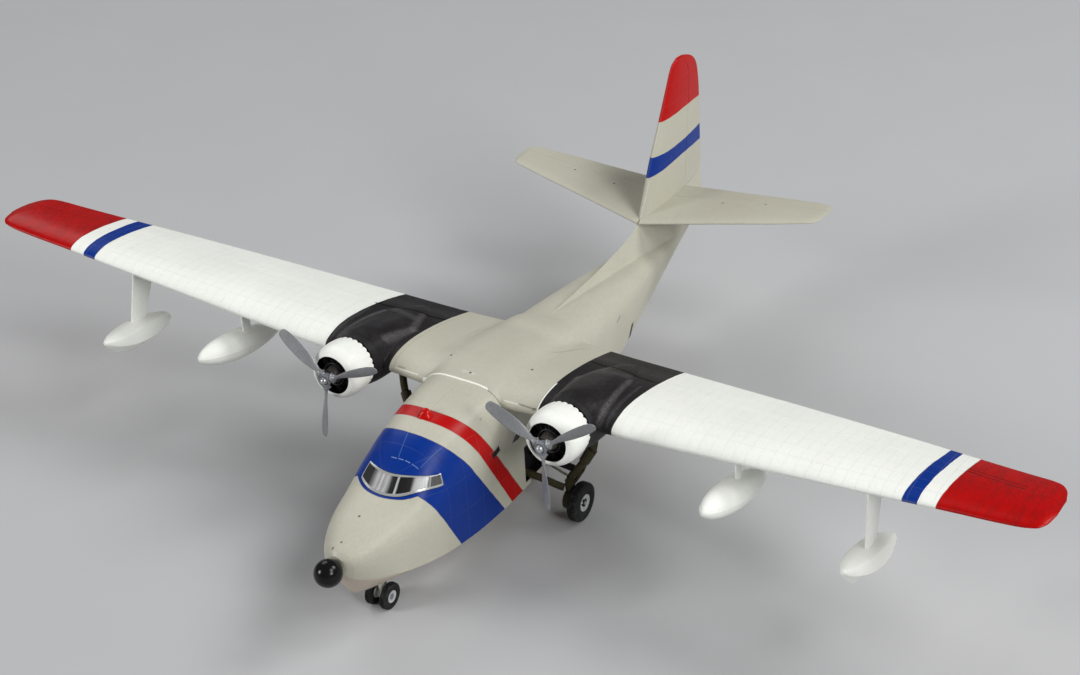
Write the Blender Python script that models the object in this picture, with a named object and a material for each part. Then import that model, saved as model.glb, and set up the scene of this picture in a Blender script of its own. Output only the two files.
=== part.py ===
"""A painted plastic kit model, about 1:72, of a twin-engined amphibious flying boat standing on its wheels.

The nose points along -Y, the port wing along +X, and the wheels stand on Z = 0.
Sizes are in millimetres and MM turns them into metres. Stations run aft from just ahead of the nose.
"""

from math import atan2, cos, pi, radians, sin, sqrt

import bmesh
import bpy
from mathutils import Matrix, Vector

MM = 0.001
GAP = 0.3  # left between touching pieces
MIDDLE_STATION = 130.24  # halfway from the nose ball to the rudder
SIDES = (("port", 1), ("starboard", -1))

# Wing
ROOT_X = 29.0  # where the bare centre section meets the outer panel
SKIN_OVER_ROOF = 0.4  # the wing's skin stands this proud of the cabin roof
CREASE_FILLET = 1.6  # how softly the wing's skin turns up into the roof
TRAILING_THICKNESS = 0.5

# Engines
ENGINE_X = 43.0
THRUST_STATION = 64.9
THRUST_HEIGHT = 55.7
THRUST_TILT = radians(-5.5)
COWL_RADIUS = 9.9
COWL_MOUTH = 7.0
COWL_FRONT = 2.9  # along the thrust line, aft from the propeller's blades
COWL_BACK = 14.9
PROPELLER_RADIUS = 23.3
BLADE_TURNS = {"port": radians(35.3), "starboard": radians(24.4)}

# Radial engine, along the thrust line: crankcase, one of its cylinders and the ring that holds it
CYLINDERS = 9
CYLINDER_PLACE = 8.0
CYLINDER_PROFILE = ((2.6, 1.15), (6.6, 1.15), (7.4, 1.0), (8.3, 1.0))
CASE_PROFILE = (
    (1.6, 1.9), (2.4, 2.5), (4.6, 3.2), (6.0, 3.5), (10.6, 3.5), (10.6, 6.0), (COWL_BACK - 0.5, 6.0),
)
MOUNT_FRONT = 12.4
MOUNT_BACK = 13.6
MOUNT_BORE = 5.0

# Propeller: the dome and hub as (distance aft of the blades, radius), and the blade from root to tip
DOME_PROFILE = (
    (-2.9, 0.5), (-2.75, 1.2), (-2.3, 1.65), (-1.5, 1.8), (-1.4, 2.2), (-0.9, 2.4), (1.0, 2.4), (1.3, 1.8),
)
# Share of the radius, chord, thickness, twist in degrees
BLADE_SECTIONS = (
    (0.05, 1.5, 1.5, 60),
    (0.16, 1.6, 1.4, 55),
    (0.28, 2.7, 1.0, 48),
    (0.45, 4.1, 0.8, 38),
    (0.65, 4.5, 0.7, 30),
    (0.84, 4.2, 0.6, 24),
    (0.95, 3.2, 0.5, 22),
    (1.0, 1.3, 0.4, 21),
)

# Wheels
MAIN_WHEEL_X = 35.2
MAIN_WHEEL_STATION = 100.0
MAIN_TYRE_RADIUS = 7.25
MAIN_TYRE_WIDTH = 4.2
NOSE_WHEEL_X = 2.95
NOSE_WHEEL_STATION = 29.0
NOSE_TYRE_RADIUS = 4.75
NOSE_TYRE_WIDTH = 2.5
AXLE_RADIUS = 0.7
MAIN_HUB_RADIUS = 3.7
NOSE_HUB_RADIUS = 2.2
# A tyre's section: place over its half-width, and share of the way from its bore to its tread
TYRE_SECTION = (
    (-0.80, 0.0), (-1.0, 0.45), (-0.86, 0.87), (-0.48, 1.0),
    (0.48, 1.0), (0.86, 0.87), (1.0, 0.45), (0.80, 0.0),
)

# Main gear of the port side, as points (x, station, height) that each bar runs through
LEG_POINTS = (
    (31.3, 100.0, 7.25), (31.2, 99.8, 15.5), (35.4, 101.0, 22.5), (39.4, 103.0, 30.0), (40.0, 103.6, 41.5),
)
LEG_RADIUS = 1.4
DRUM_X = 31.3
DRUM_PROFILE = ((-1.6, 3.9), (0.9, 4.2))
ARM_POINTS = ((15.0, 95.6, 16.4), (22.0, 96.6, 15.0), (27.5, 98.0, 13.0), (29.4, 98.6, 12.6))
ARM_RADIUS = 1.5
ARM_SQUASH = 0.7
BEAM_POINTS = ((15.0, 101.6, 21.0), (24.0, 101.2, 20.6), (31.7, 100.8, 20.2))
BEAM_RADIUS = 1.3
ROD_POINTS = ((15.0, 106.0, 15.5), (29.6, 101.4, 15.6))
ROD_RADIUS = 0.5
WELL_STATIONS = (93.6, 112.0)
WELL_HEIGHTS = (13.4, 28.4)
WELL_X = (14.6, 20.6)

# Nose leg
NOSE_LEG_RADIUS = 1.1
NOSE_BOSS = (1.2, 1.7)  # half-width, radius

# Nose ball
BALL_FLAT = 4.2  # from the ball's centre to the flat where it meets the nose
BALL_RADIUS = 4.85
BALL_STATION = 3.6
BALL_HEIGHT = 31.7

# Windshield: centres of the curves of its lower and upper edge, and their reach sideways and forwards
WINDSHIELD_BASE = Vector((0.0, 50.5 - MIDDLE_STATION, 42.6))
WINDSHIELD_TOP = Vector((0.0, 50.5 - MIDDLE_STATION, 48.3))
WINDSHIELD_BASE_REACH = (15.6, 17.2)
WINDSHIELD_TOP_REACH = (13.4, 11.4)
WINDSHIELD_TURN = radians(62)
WINDSHIELD_THICKNESS = 1.4
SEAT_TURN = radians(1.5)  # the seat reaches this much further round than the strip

# Beacon on the cabin roof: (height, radius) pairs
BEACON_STATION = 61.9
BEACON_PROFILE = ((0.0, 1.3), (1.2, 1.25), (2.0, 0.9), (2.4, 0.4))

# Tail
TAILPLANE_HEIGHT = 55.9
TAILPLANE_RISE = {"port": 1.4, "starboard": 0.78}  # share of the table's rise, as the pair was glued askew
FIN_FOOT_HEIGHT = 56.2  # the fin above this is a piece of its own

# Hull sections: station, keel height, chine half-width, chine height, side half-width,
# height of the widest point, roof height, squareness of the upper part (2 is round)
HULL_SECTIONS = (
    (8.0, 27.3, 2.7, 28.9, 3.3, 31.6, 35.2, 2.0),
    (9.5, 23.6, 4.6, 26.9, 5.6, 31.4, 36.8, 2.1),
    (13.0, 17.4, 7.4, 24.9, 8.5, 31.4, 38.2, 2.3),
    (18.0, 13.4, 10.3, 23.4, 11.1, 31.8, 39.7, 2.5),
    (25.0, 11.2, 13.1, 21.6, 13.6, 32.4, 41.2, 2.6),
    (34.0, 9.4, 15.3, 19.3, 15.6, 33.0, 43.0, 2.6),
    (40.0, 8.3, 16.1, 17.8, 16.3, 33.6, 48.2, 2.3),
    (46.0, 7.4, 16.6, 16.4, 16.8, 34.0, 52.0, 2.3),
    (53.0, 6.6, 16.9, 15.0, 17.0, 34.0, 54.8, 2.5),
    (62.0, 5.9, 17.0, 13.4, 17.0, 34.0, 56.4, 3.0),
    (72.0, 5.5, 17.0, 12.2, 17.0, 34.0, 57.0, 3.6),
    (84.0, 5.2, 17.0, 11.4, 17.0, 34.0, 57.2, 4.0),
    (104.0, 5.2, 17.0, 11.4, 17.0, 34.0, 56.6, 4.0),
    (118.0, 5.3, 16.8, 11.8, 16.9, 34.0, 55.0, 3.6),
    (127.7, 5.5, 16.4, 12.3, 16.7, 34.2, 53.4, 3.2),
    (128.0, 7.6, 16.2, 13.4, 16.7, 34.2, 53.4, 3.2),
    (142.0, 9.6, 15.0, 15.6, 15.8, 34.8, 51.2, 3.1),
    (158.0, 12.2, 13.4, 18.3, 14.6, 35.6, 49.4, 3.0),
    (174.0, 15.2, 11.7, 21.4, 13.0, 36.2, 47.6, 2.9),
    (190.0, 18.6, 9.8, 25.0, 11.0, 37.0, 45.8, 2.8),
    (206.0, 23.6, 7.8, 28.6, 8.9, 37.6, 44.2, 2.6),
    (222.0, 28.2, 5.7, 32.0, 6.5, 38.2, 43.0, 2.4),
    (238.0, 32.6, 3.5, 35.0, 4.0, 38.6, 42.2, 2.0),
    (252.0, 36.4, 1.7, 37.6, 2.1, 39.2, 41.8, 2.0),
    (259.0, 38.6, 0.9, 39.2, 1.1, 40.0, 41.4, 2.0),
)
ROOF_POINTS = 8
# The halves of the hull are hollow behind the main wheels: station and half-width at most. The hollow
# opens under the wing, as the moulding does, and leaves the walls of the wheel wells
HULL_WALL = 1.3
HOLLOW = (
    (101.0, 13.0),
    (113.2, 13.0),
    (114.4, 15.5),
    (127.0, 15.5),
    (129.0, 15.5),
    (142.0, 15.0),
    (158.0, 15.0),
    (174.0, 15.0),
    (190.0, 15.0),
    (206.0, 15.0),
    (222.0, 15.0),
    (234.0, 15.0),
)
BOTTOM_HOLLOW = 0.07  # how far the bottom plating bows in between keel and chine, of its rise

# Dorsal spine: station, ridge height, half-width of its foot, foot height
SPINE_SECTIONS = (
    (142.0, 51.3, 0.4, 49.0),
    (156.0, 51.0, 1.1, 47.5),
    (172.0, 51.0, 2.0, 45.5),
    (188.0, 51.9, 2.8, 43.5),
    (199.0, 53.0, 3.3, 42.0),
    (206.0, 54.6, 3.6, 41.5),
    (209.8, 55.7, 3.7, 41.2),
)

# Fin slices: height, leading and trailing station, thickness
FIN_SLICES = (
    (39.8, 206.0, 261.0, 3.0),
    (48.0, 207.6, 261.6, 6.6),
    (54.0, 209.2, 261.7, 6.2),
    (62.0, 212.4, 261.5, 5.6),
    (76.0, 218.6, 260.9, 4.7),
    (92.0, 227.6, 260.1, 3.7),
    (101.0, 232.3, 258.8, 3.0),
    (105.0, 234.4, 257.2, 2.6),
    (108.5, 236.3, 253.6, 2.1),
    (110.5, 238.2, 249.3, 1.6),
    (111.6, 240.8, 245.6, 1.0),
)

# Wing: half-span, leading station and height, trailing station and height, thickness over chord
WING_STATIONS = (
    (0.0, 83.3, 52.0, 138.0, 46.4, 0.175),
    (16.0, 83.5, 52.0, 136.8, 46.8, 0.175),
    (29.0, 84.0, 52.4, 135.1, 47.5, 0.178),
    (58.0, 82.8, 54.9, 131.0, 50.3, 0.185),
    (105.0, 81.0, 59.7, 123.6, 55.6, 0.165),
    (151.4, 79.4, 64.7, 115.7, 60.9, 0.140),
    (172.0, 78.2, 67.4, 110.4, 64.3, 0.130),
    (190.0, 76.9, 69.8, 105.8, 67.4, 0.122),
    (196.0, 76.6, 70.7, 104.0, 68.7, 0.115),
    (200.0, 77.0, 71.4, 102.0, 69.7, 0.105),
    (202.6, 79.2, 71.8, 98.6, 70.4, 0.085),
    (204.0, 84.5, 72.0, 93.3, 71.2, 0.060),
)
TIP_STRETCH = {"port": -0.04, "starboard": 0.067}  # the tips differ, by this share of what lies beyond
TIP_STRETCH_FROM = 170.0
CHORD_FRACTIONS = (0.0, 0.012, 0.045, 0.11, 0.2, 0.32, 0.45, 0.58, 0.7, 0.82, 0.92, 1.0)
CAMBER = 0.018
CAMBER_PLACE = 0.3

# Tailplane: half-span, leading station, trailing station, rise above the root, thickness over chord
TAILPLANE_STATIONS = (
    (0.15, 208.4, 244.6, 0.0, 0.100),
    (30.0, 216.0, 243.2, 2.6, 0.100),
    (60.0, 223.6, 241.6, 5.2, 0.095),
    (65.6, 225.4, 240.6, 5.7, 0.080),
    (67.8, 229.5, 238.0, 5.9, 0.050),
)

# Nacelle sections along the thrust line: distance, half-width, height above and depth below the line
NACELLE_SECTIONS = (
    (15.2, 9.2, 9.2, 9.6),
    (23.0, 10.0, 9.2, 10.9),
    (31.0, 10.1, 8.2, 11.2),
    (39.0, 9.4, 6.5, 10.2),
    (47.0, 7.6, 4.5, 8.2),
    (54.0, 4.9, 2.4, 5.8),
    (60.0, 1.8, 1.0, 3.8),
)

# Float sections: station, ridge height, shoulder half-width and height, chine half-width and height,
# keel height, as a float sits whose seat is level
FLOAT_SECTIONS = (
    (63.3, 41.6, 0.6, 41.2, 0.5, 40.6, 40.2),
    (64.6, 41.9, 1.6, 41.0, 1.4, 39.6, 38.3),
    (69.0, 42.1, 3.5, 40.6, 3.3, 37.6, 34.2),
    (75.0, 42.0, 4.2, 40.4, 4.1, 35.4, 31.6),
    (82.0, 41.3, 4.2, 39.7, 4.2, 33.8, 30.2),
    (89.0, 39.8, 3.5, 38.3, 3.5, 33.0, 29.6),
    (95.0, 37.6, 2.0, 36.4, 2.0, 32.6, 29.8),
    (98.5, 35.4, 0.9, 34.6, 0.9, 32.0, 30.6),
    (99.8, 33.6, 0.4, 33.2, 0.4, 32.0, 31.4),
)
FLOAT_PIVOT = (83.0, 41.2)  # station and height of the point that a float is turned about
# Where each float's pivot is and how it was glued on: x, station, height, and degrees of pitch, roll and yaw
FLOAT_SEATS = {
    "port": (146.7, 88.4, 39.4, -3.5, -4.8, -3.7),
    "starboard": (-146.9, 83.0, 41.1, 0.0, 0.3, 1.8),
}
STRUT_X = 147.0
STRUT_THICKNESS = 1.8
# Height, leading station and chord at the foot and inside the wing
STRUT_ENDS = {
    "port": ((37.0, 82.6, 8.4), (64.0, 82.0, 13.2)),
    "starboard": ((38.0, 77.8, 7.8), (64.0, 85.3, 13.2)),
}

# Drop tank
TANK_LENGTH = 52.0
TANK_RADIUS = 5.4
# How each tank hangs: the place of its nose, and degrees of pitch and yaw
TANK_SEATS = {
    "port": (100.4, 64.9, 49.3, -18.0, 1.6),
    "starboard": (-99.7, 63.6, 47.5, -16.0, 5.0),
}
TANK_TIP_RADIUS = 0.35
PYLON_ENDS = (40.0, 61.0)
PYLON_STATIONS = (88.0, 99.0)
PYLON_RATIO = 0.14


def station_y(station):
    return station - MIDDLE_STATION


def interpolate(table, key, column):
    """The column's value at key, on straight lines between the table's rows."""
    for low, high in zip(table, table[1:]):
        if key <= high[0]:
            part = max(0.0, (key - low[0]) / (high[0] - low[0]))
            return low[column] + (high[column] - low[column]) * part
    return table[-1][column]


def material(name, colour, roughness, metallic=0.0):
    made = bpy.data.materials.new(name)
    made.use_nodes = True
    shader = made.node_tree.nodes["Principled BSDF"]
    shader.inputs["Base Color"].default_value = (*colour, 1.0)
    shader.inputs["Roughness"].default_value = roughness
    shader.inputs["Metallic"].default_value = metallic
    return made


def named_object(name, shape, finish=None, origin=(0.0, 0.0, 0.0), turn=(0.0, 0.0, 0.0)):
    """An object from a bmesh in millimetres, local to the origin; without a finish it is a hidden guide."""
    bmesh.ops.recalc_face_normals(shape, faces=shape.faces)
    bmesh.ops.scale(shape, vec=(MM, MM, MM), verts=shape.verts)
    mesh = bpy.data.meshes.new(name)
    shape.to_mesh(mesh)
    shape.free()
    made = bpy.data.objects.new(name, mesh)
    made.location = Vector(origin) * MM
    made.rotation_euler = turn
    bpy.context.scene.collection.objects.link(made)
    if finish is None:
        made.hide_render = True
        made.display_type = "WIRE"
    else:
        mesh.materials.append(finish)
        mesh.shade_smooth()
        mesh.set_sharp_from_angle(angle=radians(40))
    return made


def boolean(target, other, operation):
    modifier = target.modifiers.new(operation.lower() + "_" + other.name, "BOOLEAN")
    modifier.object = other
    modifier.operation = operation


def lofted(rings):
    """A closed skin through rings with equal numbers of points, capped at both ends."""
    shape = bmesh.new()
    rows = [[shape.verts.new(point) for point in ring] for ring in rings]
    count = len(rows[0])
    for row, following in zip(rows, rows[1:]):
        for i in range(count):
            j = (i + 1) % count
            shape.faces.new((row[i], row[j], following[j], following[i]))
    shape.faces.new(rows[0][::-1])
    shape.faces.new(rows[-1])
    return shape


def turned(profile, segments, axis="Y", first_turn=0.0):
    """A solid of revolution from (place, radius) pairs along the axis. A closed profile makes a ring."""
    ring_shaped = profile[0] == profile[-1]
    if ring_shaped:
        profile = profile[:-1]
    shape = bmesh.new()
    rows = []
    for place, radius in profile:
        row = []
        for k in range(segments):
            turn = first_turn + 2 * pi * k / segments
            across, up = radius * cos(turn), radius * sin(turn)
            row.append(shape.verts.new((across, place, up) if axis == "Y" else (place, across, up)))
        rows.append(row)
    pairs = list(zip(rows, rows[1:]))
    if ring_shaped:
        pairs.append((rows[-1], rows[0]))
    for row, following in pairs:
        for k in range(segments):
            n = (k + 1) % segments
            shape.faces.new((row[k], row[n], following[n], following[k]))
    if not ring_shaped:
        shape.faces.new(rows[0][::-1])
        shape.faces.new(rows[-1])
    return shape


def tube(points, radius, sides=8, squash=1.0):
    """A bar of round or flattened section through the points, with flat ends."""
    rings = []
    path = [Vector(point) for point in points]
    for i, point in enumerate(path):
        along = (path[min(i + 1, len(path) - 1)] - path[max(i - 1, 0)]).normalized()
        across = along.cross(Vector((0.0, 0.0, 1.0)) if abs(along.z) < 0.9 else Vector((0.0, 1.0, 0.0)))
        across.normalize()
        up = across.cross(along)
        ring = []
        for k in range(sides):
            turn = 2 * pi * (k + 0.5) / sides
            ring.append(point + across * radius * squash * cos(turn) + up * radius * sin(turn))
        rings.append(ring)
    return lofted(rings)


def merged(*shapes):
    """One bmesh that holds all the shapes, for solids that a union then joins."""
    whole = shapes[0]
    for other in shapes[1:]:
        mesh = bpy.data.meshes.new("joined")
        other.to_mesh(mesh)
        other.free()
        whole.from_mesh(mesh)
        bpy.data.meshes.remove(mesh)
    return whole


def moved(shape, offset=(0.0, 0.0, 0.0), turn=None):
    matrix = Matrix.Translation(offset)
    if turn is not None:
        matrix = matrix @ turn
    bmesh.ops.transform(shape, matrix=matrix, verts=shape.verts)
    return shape


def hull_roof(x, station):
    """Height of the fuselage's upper surface, or None outside its width."""
    side_x = interpolate(HULL_SECTIONS, station, 4)
    side_z = interpolate(HULL_SECTIONS, station, 5)
    roof = interpolate(HULL_SECTIONS, station, 6)
    square = interpolate(HULL_SECTIONS, station, 7)
    if abs(x) >= side_x:
        return None
    return side_z + (roof - side_z) * (1 - (abs(x) / side_x) ** square) ** (1 / square)


def hull_ring(section):
    station, keel, chine_x, chine_z, side_x, side_z, roof, square = section
    rise = chine_z - keel
    half = [
        (0.0, keel),
        (chine_x * 0.5, keel + rise * (0.5 - BOTTOM_HOLLOW)),
        (chine_x, chine_z),
        (chine_x + (side_x - chine_x) * 0.6, chine_z + (side_z - chine_z) * 0.5),
    ]
    for k in range(ROOF_POINTS + 1):
        turn = pi / 2 * k / ROOF_POINTS
        across = side_x * cos(turn) ** (2 / square) if k < ROOF_POINTS else 0.0
        half.append((across, side_z + (roof - side_z) * sin(turn) ** (2 / square)))
    other_half = [(-x, z) for x, z in half[-2:0:-1]]
    return [(x, station_y(station), z) for x, z in half + other_half]


def hollow_ring(station, widest):
    """The hull's section drawn in by the thickness of its wall."""
    row = (station, *(interpolate(HULL_SECTIONS, station, column) for column in range(1, 8)))
    keel, side_x, roof = row[1], row[4], row[6]
    middle = (keel + roof) / 2
    narrow = min(widest, side_x - HULL_WALL) / side_x
    low = 1 - 2 * HULL_WALL / (roof - keel)
    return [(x * narrow, y, middle + (z - middle) * low) for x, y, z in hull_ring(row)]


def wing_height(fraction, thickness, surface):
    """Height of a wing section's surface over its chord line, for a chord of one: +1 upper, -1 lower."""
    f = fraction
    half = 5 * thickness * (0.2969 * sqrt(f) - 0.1260 * f - 0.3516 * f**2 + 0.2843 * f**3 - 0.1036 * f**4)
    if f < CAMBER_PLACE:
        bow = CAMBER / CAMBER_PLACE**2 * (2 * CAMBER_PLACE * f - f**2)
    else:
        bow = CAMBER / (1 - CAMBER_PLACE) ** 2 * (1 - 2 * CAMBER_PLACE + 2 * CAMBER_PLACE * f - f**2)
    return bow + surface * half


def wing_ring(x, grow=0.0, roof=False):
    """The wing's section at a half-span x, thickened by grow, with the cabin roof's hump if asked."""
    lead_station, lead_height, trail_station, trail_height, ratio = (
        interpolate(WING_STATIONS, abs(x), column) for column in range(1, 6)
    )
    chord = trail_station - lead_station
    upper, lower = [], []
    for fraction in CHORD_FRACTIONS:
        station = lead_station - grow + (chord + 2 * grow) * fraction
        line = lead_height + (trail_height - lead_height) * fraction
        edge = TRAILING_THICKNESS / 2 * fraction
        blunt = edge + grow
        top = line + chord * wing_height(fraction, ratio, 1) + blunt
        bottom = line + chord * wing_height(fraction, ratio, -1) - blunt
        over = hull_roof(x, station) if roof else None
        if over is not None:
            over += SKIN_OVER_ROOF + grow
            top = (top + over + sqrt((top - over) ** 2 + CREASE_FILLET**2)) / 2
        upper.append((x, station_y(station), top))
        lower.append((x, station_y(station), bottom))
    return upper + lower[::-1]


def surface_ring(x, lead, trail, height, ratio, grow=0.0):
    """A symmetric tail section at x, like a thin leaf."""
    chord = trail - lead + 2 * grow
    upper, lower = [], []
    for fraction in CHORD_FRACTIONS:
        half = chord * ratio * 5 * (
            0.2969 * sqrt(fraction) - 0.1260 * fraction - 0.3516 * fraction**2
            + 0.2843 * fraction**3 - 0.1036 * fraction**4
        )
        half += TRAILING_THICKNESS / 2 * fraction + grow
        y = station_y(lead - grow + chord * fraction)
        upper.append((x, y, height + half))
        lower.append((x, y, height - half))
    return upper + lower[::-1]


def fin_ring(section):
    height, lead, trail, thickness = section
    ring = surface_ring(0.0, lead, trail, 0.0, thickness / (trail - lead))
    return [(z, y, height) for _, y, z in ring]


def fin_part(lowest, highest):
    """The fin's slices between two heights, with a cut slice at each of them."""
    def at(height):
        return (height, *(interpolate(FIN_SLICES, height, column) for column in (1, 2, 3)))
    inner = [row for row in FIN_SLICES if lowest < row[0] < highest]
    return lofted([fin_ring(row) for row in (at(lowest), *inner, at(highest))])


def make_hull(finish):
    """The stepped hull with the cockpit, the dorsal spine and the foot of the fin, cut out under the wing."""
    hull = named_object("hull", lofted([hull_ring(row) for row in HULL_SECTIONS]), finish)
    spine = lofted([
        [(0.0, station_y(s), ridge), (foot_x, station_y(s), foot), (-foot_x, station_y(s), foot)]
        for s, ridge, foot_x, foot in SPINE_SECTIONS
    ])
    boolean(hull, named_object("spine_shape", spine), "UNION")
    foot = fin_part(FIN_SLICES[0][0], FIN_FOOT_HEIGHT - GAP)
    boolean(hull, named_object("fin_foot_shape", foot), "UNION")
    hollow = lofted([hollow_ring(station, widest) for station, widest in HOLLOW])
    boolean(hull, named_object("hull_hollow", hollow), "DIFFERENCE")
    return hull


def make_wing(finishes, hull):
    centre_xs = (0.0, 5.0, 9.5, 12.5, 14.5, 15.7, 16.6, 18.5, 22.0, ROOT_X - GAP / 2)
    xs = [-x for x in centre_xs[:0:-1]] + list(centre_xs)
    named_object("wing_centre", lofted([wing_ring(x, roof=True) for x in xs]), finishes["grey"])
    space = named_object("wing_centre_space", lofted([wing_ring(x, GAP, True) for x in xs]))
    boolean(hull, space, "DIFFERENCE")
    spaces = {}
    for side, sign in SIDES:
        xs = [ROOT_X + GAP / 2] + [row[0] for row in WING_STATIONS if row[0] > ROOT_X]
        def stretched(ring):
            beyond = max(0.0, abs(ring[0][0]) - TIP_STRETCH_FROM) * TIP_STRETCH[side]
            return [(x + sign * beyond, y, z) for x, y, z in ring]

        rings = [stretched(wing_ring(sign * x)) for x in xs]
        named_object("wing_" + side, lofted(rings), finishes["white"])
        wide = [wing_ring(sign * x, GAP) for x in xs]
        spaces[side] = named_object("wing_space_" + side, lofted(wide))
    return spaces


def make_tail(finishes, hull):
    fin = named_object("tail_fin", fin_part(FIN_FOOT_HEIGHT, FIN_SLICES[-1][0]), finishes["grey"])
    for side, sign in SIDES:
        rings, wide = [], []
        for x, lead, trail, rise, ratio in TAILPLANE_STATIONS:
            height = TAILPLANE_HEIGHT + rise * TAILPLANE_RISE[side]
            rings.append(surface_ring(sign * x, lead, trail, height, ratio))
            wide.append(surface_ring(sign * x, lead, trail, height, ratio, GAP))
        named_object("tailplane_" + side, lofted(rings), finishes["grey"])
        wide.insert(0, [(-sign * 1.0, y, z) for _, y, z in wide[0]])
        space = named_object("tailplane_space_" + side, lofted(wide))
        boolean(fin, space, "DIFFERENCE")
        boolean(hull, space, "DIFFERENCE")


def make_nose(finishes):
    profile = []
    steps = 9
    first = 0.12
    last = pi - atan2(sqrt(BALL_RADIUS**2 - BALL_FLAT**2), BALL_FLAT)
    for k in range(steps + 1):
        turn = first + (last - first) * k / steps
        profile.append((-BALL_RADIUS * cos(turn), BALL_RADIUS * sin(turn)))
    place = (0.0, station_y(BALL_STATION), BALL_HEIGHT)
    named_object("nose_ball", turned(profile, 20), finishes["black"], place)

    lamp = turned(BEACON_PROFILE, 12, "X")
    moved(lamp, turn=Matrix.Rotation(-pi / 2, 4, "Y"))
    foot = (0.0, station_y(BEACON_STATION), hull_roof(0.0, BEACON_STATION) + GAP)
    named_object("roof_beacon", lamp, finishes["red"], foot)


def windshield_strip(ends, thickness, grow):
    """The strip that curves round the front of the cockpit, between two edges that lean back."""
    rings = []
    for part in (-1.0, -0.8, -0.55, -0.28, 0.0, 0.28, 0.55, 0.8, 1.0):
        out = Vector((sin(ends * part), -cos(ends * part), 0.0))
        corners = []
        for centre, reach, lift in (
            (WINDSHIELD_BASE, WINDSHIELD_BASE_REACH, -grow),
            (WINDSHIELD_TOP, WINDSHIELD_TOP_REACH, grow),
        ):
            corners.append(centre + Vector((out.x * reach[0], out.y * reach[1], lift)))
        base, top = corners
        rings.append([base + out * grow, top + out * grow, top - out * thickness, base - out * thickness])
    return lofted(rings)


def make_windshield(finishes, hull):
    """One clear strip, sunk in a shallow seat in the hull."""
    strip = windshield_strip(WINDSHIELD_TURN, WINDSHIELD_THICKNESS, 0.0)
    named_object("windshield", strip, finishes["clear"])
    seat = windshield_strip(WINDSHIELD_TURN + SEAT_TURN, WINDSHIELD_THICKNESS + GAP, GAP)
    boolean(hull, named_object("windshield_seat", seat), "DIFFERENCE")


def cowl_profile():
    """The cowling's wall as a closed ring of (distance, radius) pairs, from its lip round the outside."""
    lip, mouth, outside, back = COWL_FRONT, COWL_MOUTH, COWL_RADIUS, COWL_BACK
    return [
        (lip, mouth + 0.4), (lip + 0.5, mouth + 1.3), (lip + 2.0, outside - 0.9), (lip + 4.5, outside - 0.1),
        (lip + 8.0, outside), (back, outside - 0.5), (back, outside - 1.2), (lip + 4.0, outside - 1.1),
        (lip + 1.2, mouth + 0.5), (lip + 0.3, mouth), (lip, mouth + 0.4),
    ]


def make_engines(finishes, wing_spaces):
    for side, sign in SIDES:
        place = (sign * ENGINE_X, station_y(THRUST_STATION), THRUST_HEIGHT)
        tilt = (THRUST_TILT, 0.0, 0.0)
        named_object("cowling_" + side, turned(cowl_profile(), 28), finishes["white"], place, tilt)

        engine = named_object("engine_" + side, turned(CASE_PROFILE, 18), finishes["engine"], place, tilt)
        cylinders = []
        for k in range(CYLINDERS):
            about = Matrix.Rotation(2 * pi * (k + 0.25) / CYLINDERS, 4, "Y")
            cylinders.append(moved(turned(CYLINDER_PROFILE, 8, "X"), (0.0, CYLINDER_PLACE, 0.0), about))
        star = named_object("cylinders_" + side, merged(*cylinders), None, place, tilt)
        boolean(engine, star, "UNION")
        rim = COWL_RADIUS - 1.4
        ring_profile = [
            (MOUNT_FRONT, MOUNT_BORE), (MOUNT_FRONT, rim), (MOUNT_BACK, rim), (MOUNT_BACK, MOUNT_BORE),
            (MOUNT_FRONT, MOUNT_BORE),
        ]
        mount = named_object("engine_mount_" + side, turned(ring_profile, 18), None, place, tilt)
        boolean(engine, mount, "UNION")

        rings = []
        for along, half_width, above, below in NACELLE_SECTIONS:
            ring = []
            for k in range(24):
                turn = 2 * pi * k / 24
                up = above if sin(turn) > 0 else below
                ring.append((half_width * cos(turn), along, up * sin(turn)))
            rings.append(ring)
        nacelle = named_object("nacelle_" + side, lofted(rings), finishes["charcoal"], place, tilt)
        boolean(nacelle, wing_spaces[side], "DIFFERENCE")

        make_propeller(side, finishes["metal"], place, tilt)


def make_propeller(side, finish, place, tilt):
    """Three twisted paddle blades on a hub with a round dome, turned as they stopped."""
    hub = named_object("propeller_" + side, turned(DOME_PROFILE, 16), finish, place, tilt)
    for k in range(3):
        rings = []
        for share, chord, thickness, twist in BLADE_SECTIONS:
            pitch = radians(twist)
            ring = []
            for n in range(10):
                turn = 2 * pi * n / 10
                across = chord / 2 * cos(turn)
                thick = thickness / 2 * sin(turn)
                along = across * sin(pitch) + thick * cos(pitch)
                wide = thick * sin(pitch) - across * cos(pitch)
                ring.append((PROPELLER_RADIUS * share, along, wide))
            rings.append(ring)
        shape = moved(lofted(rings), turn=Matrix.Rotation(-(BLADE_TURNS[side] + 2 * pi * k / 3), 4, "Y"))
        guide = named_object(f"blade_{side}_{k}", shape, None, place, tilt)
        boolean(hub, guide, "UNION")


def tank_profile(grow=0.0):
    steps = 12
    profile = []
    for k in range(steps + 1):
        share = k / steps
        radius = TANK_RADIUS * sin(pi * share**0.82) ** 0.62 if 0 < k < steps else TANK_TIP_RADIUS
        profile.append((TANK_LENGTH * share, radius + grow))
    return profile


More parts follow.
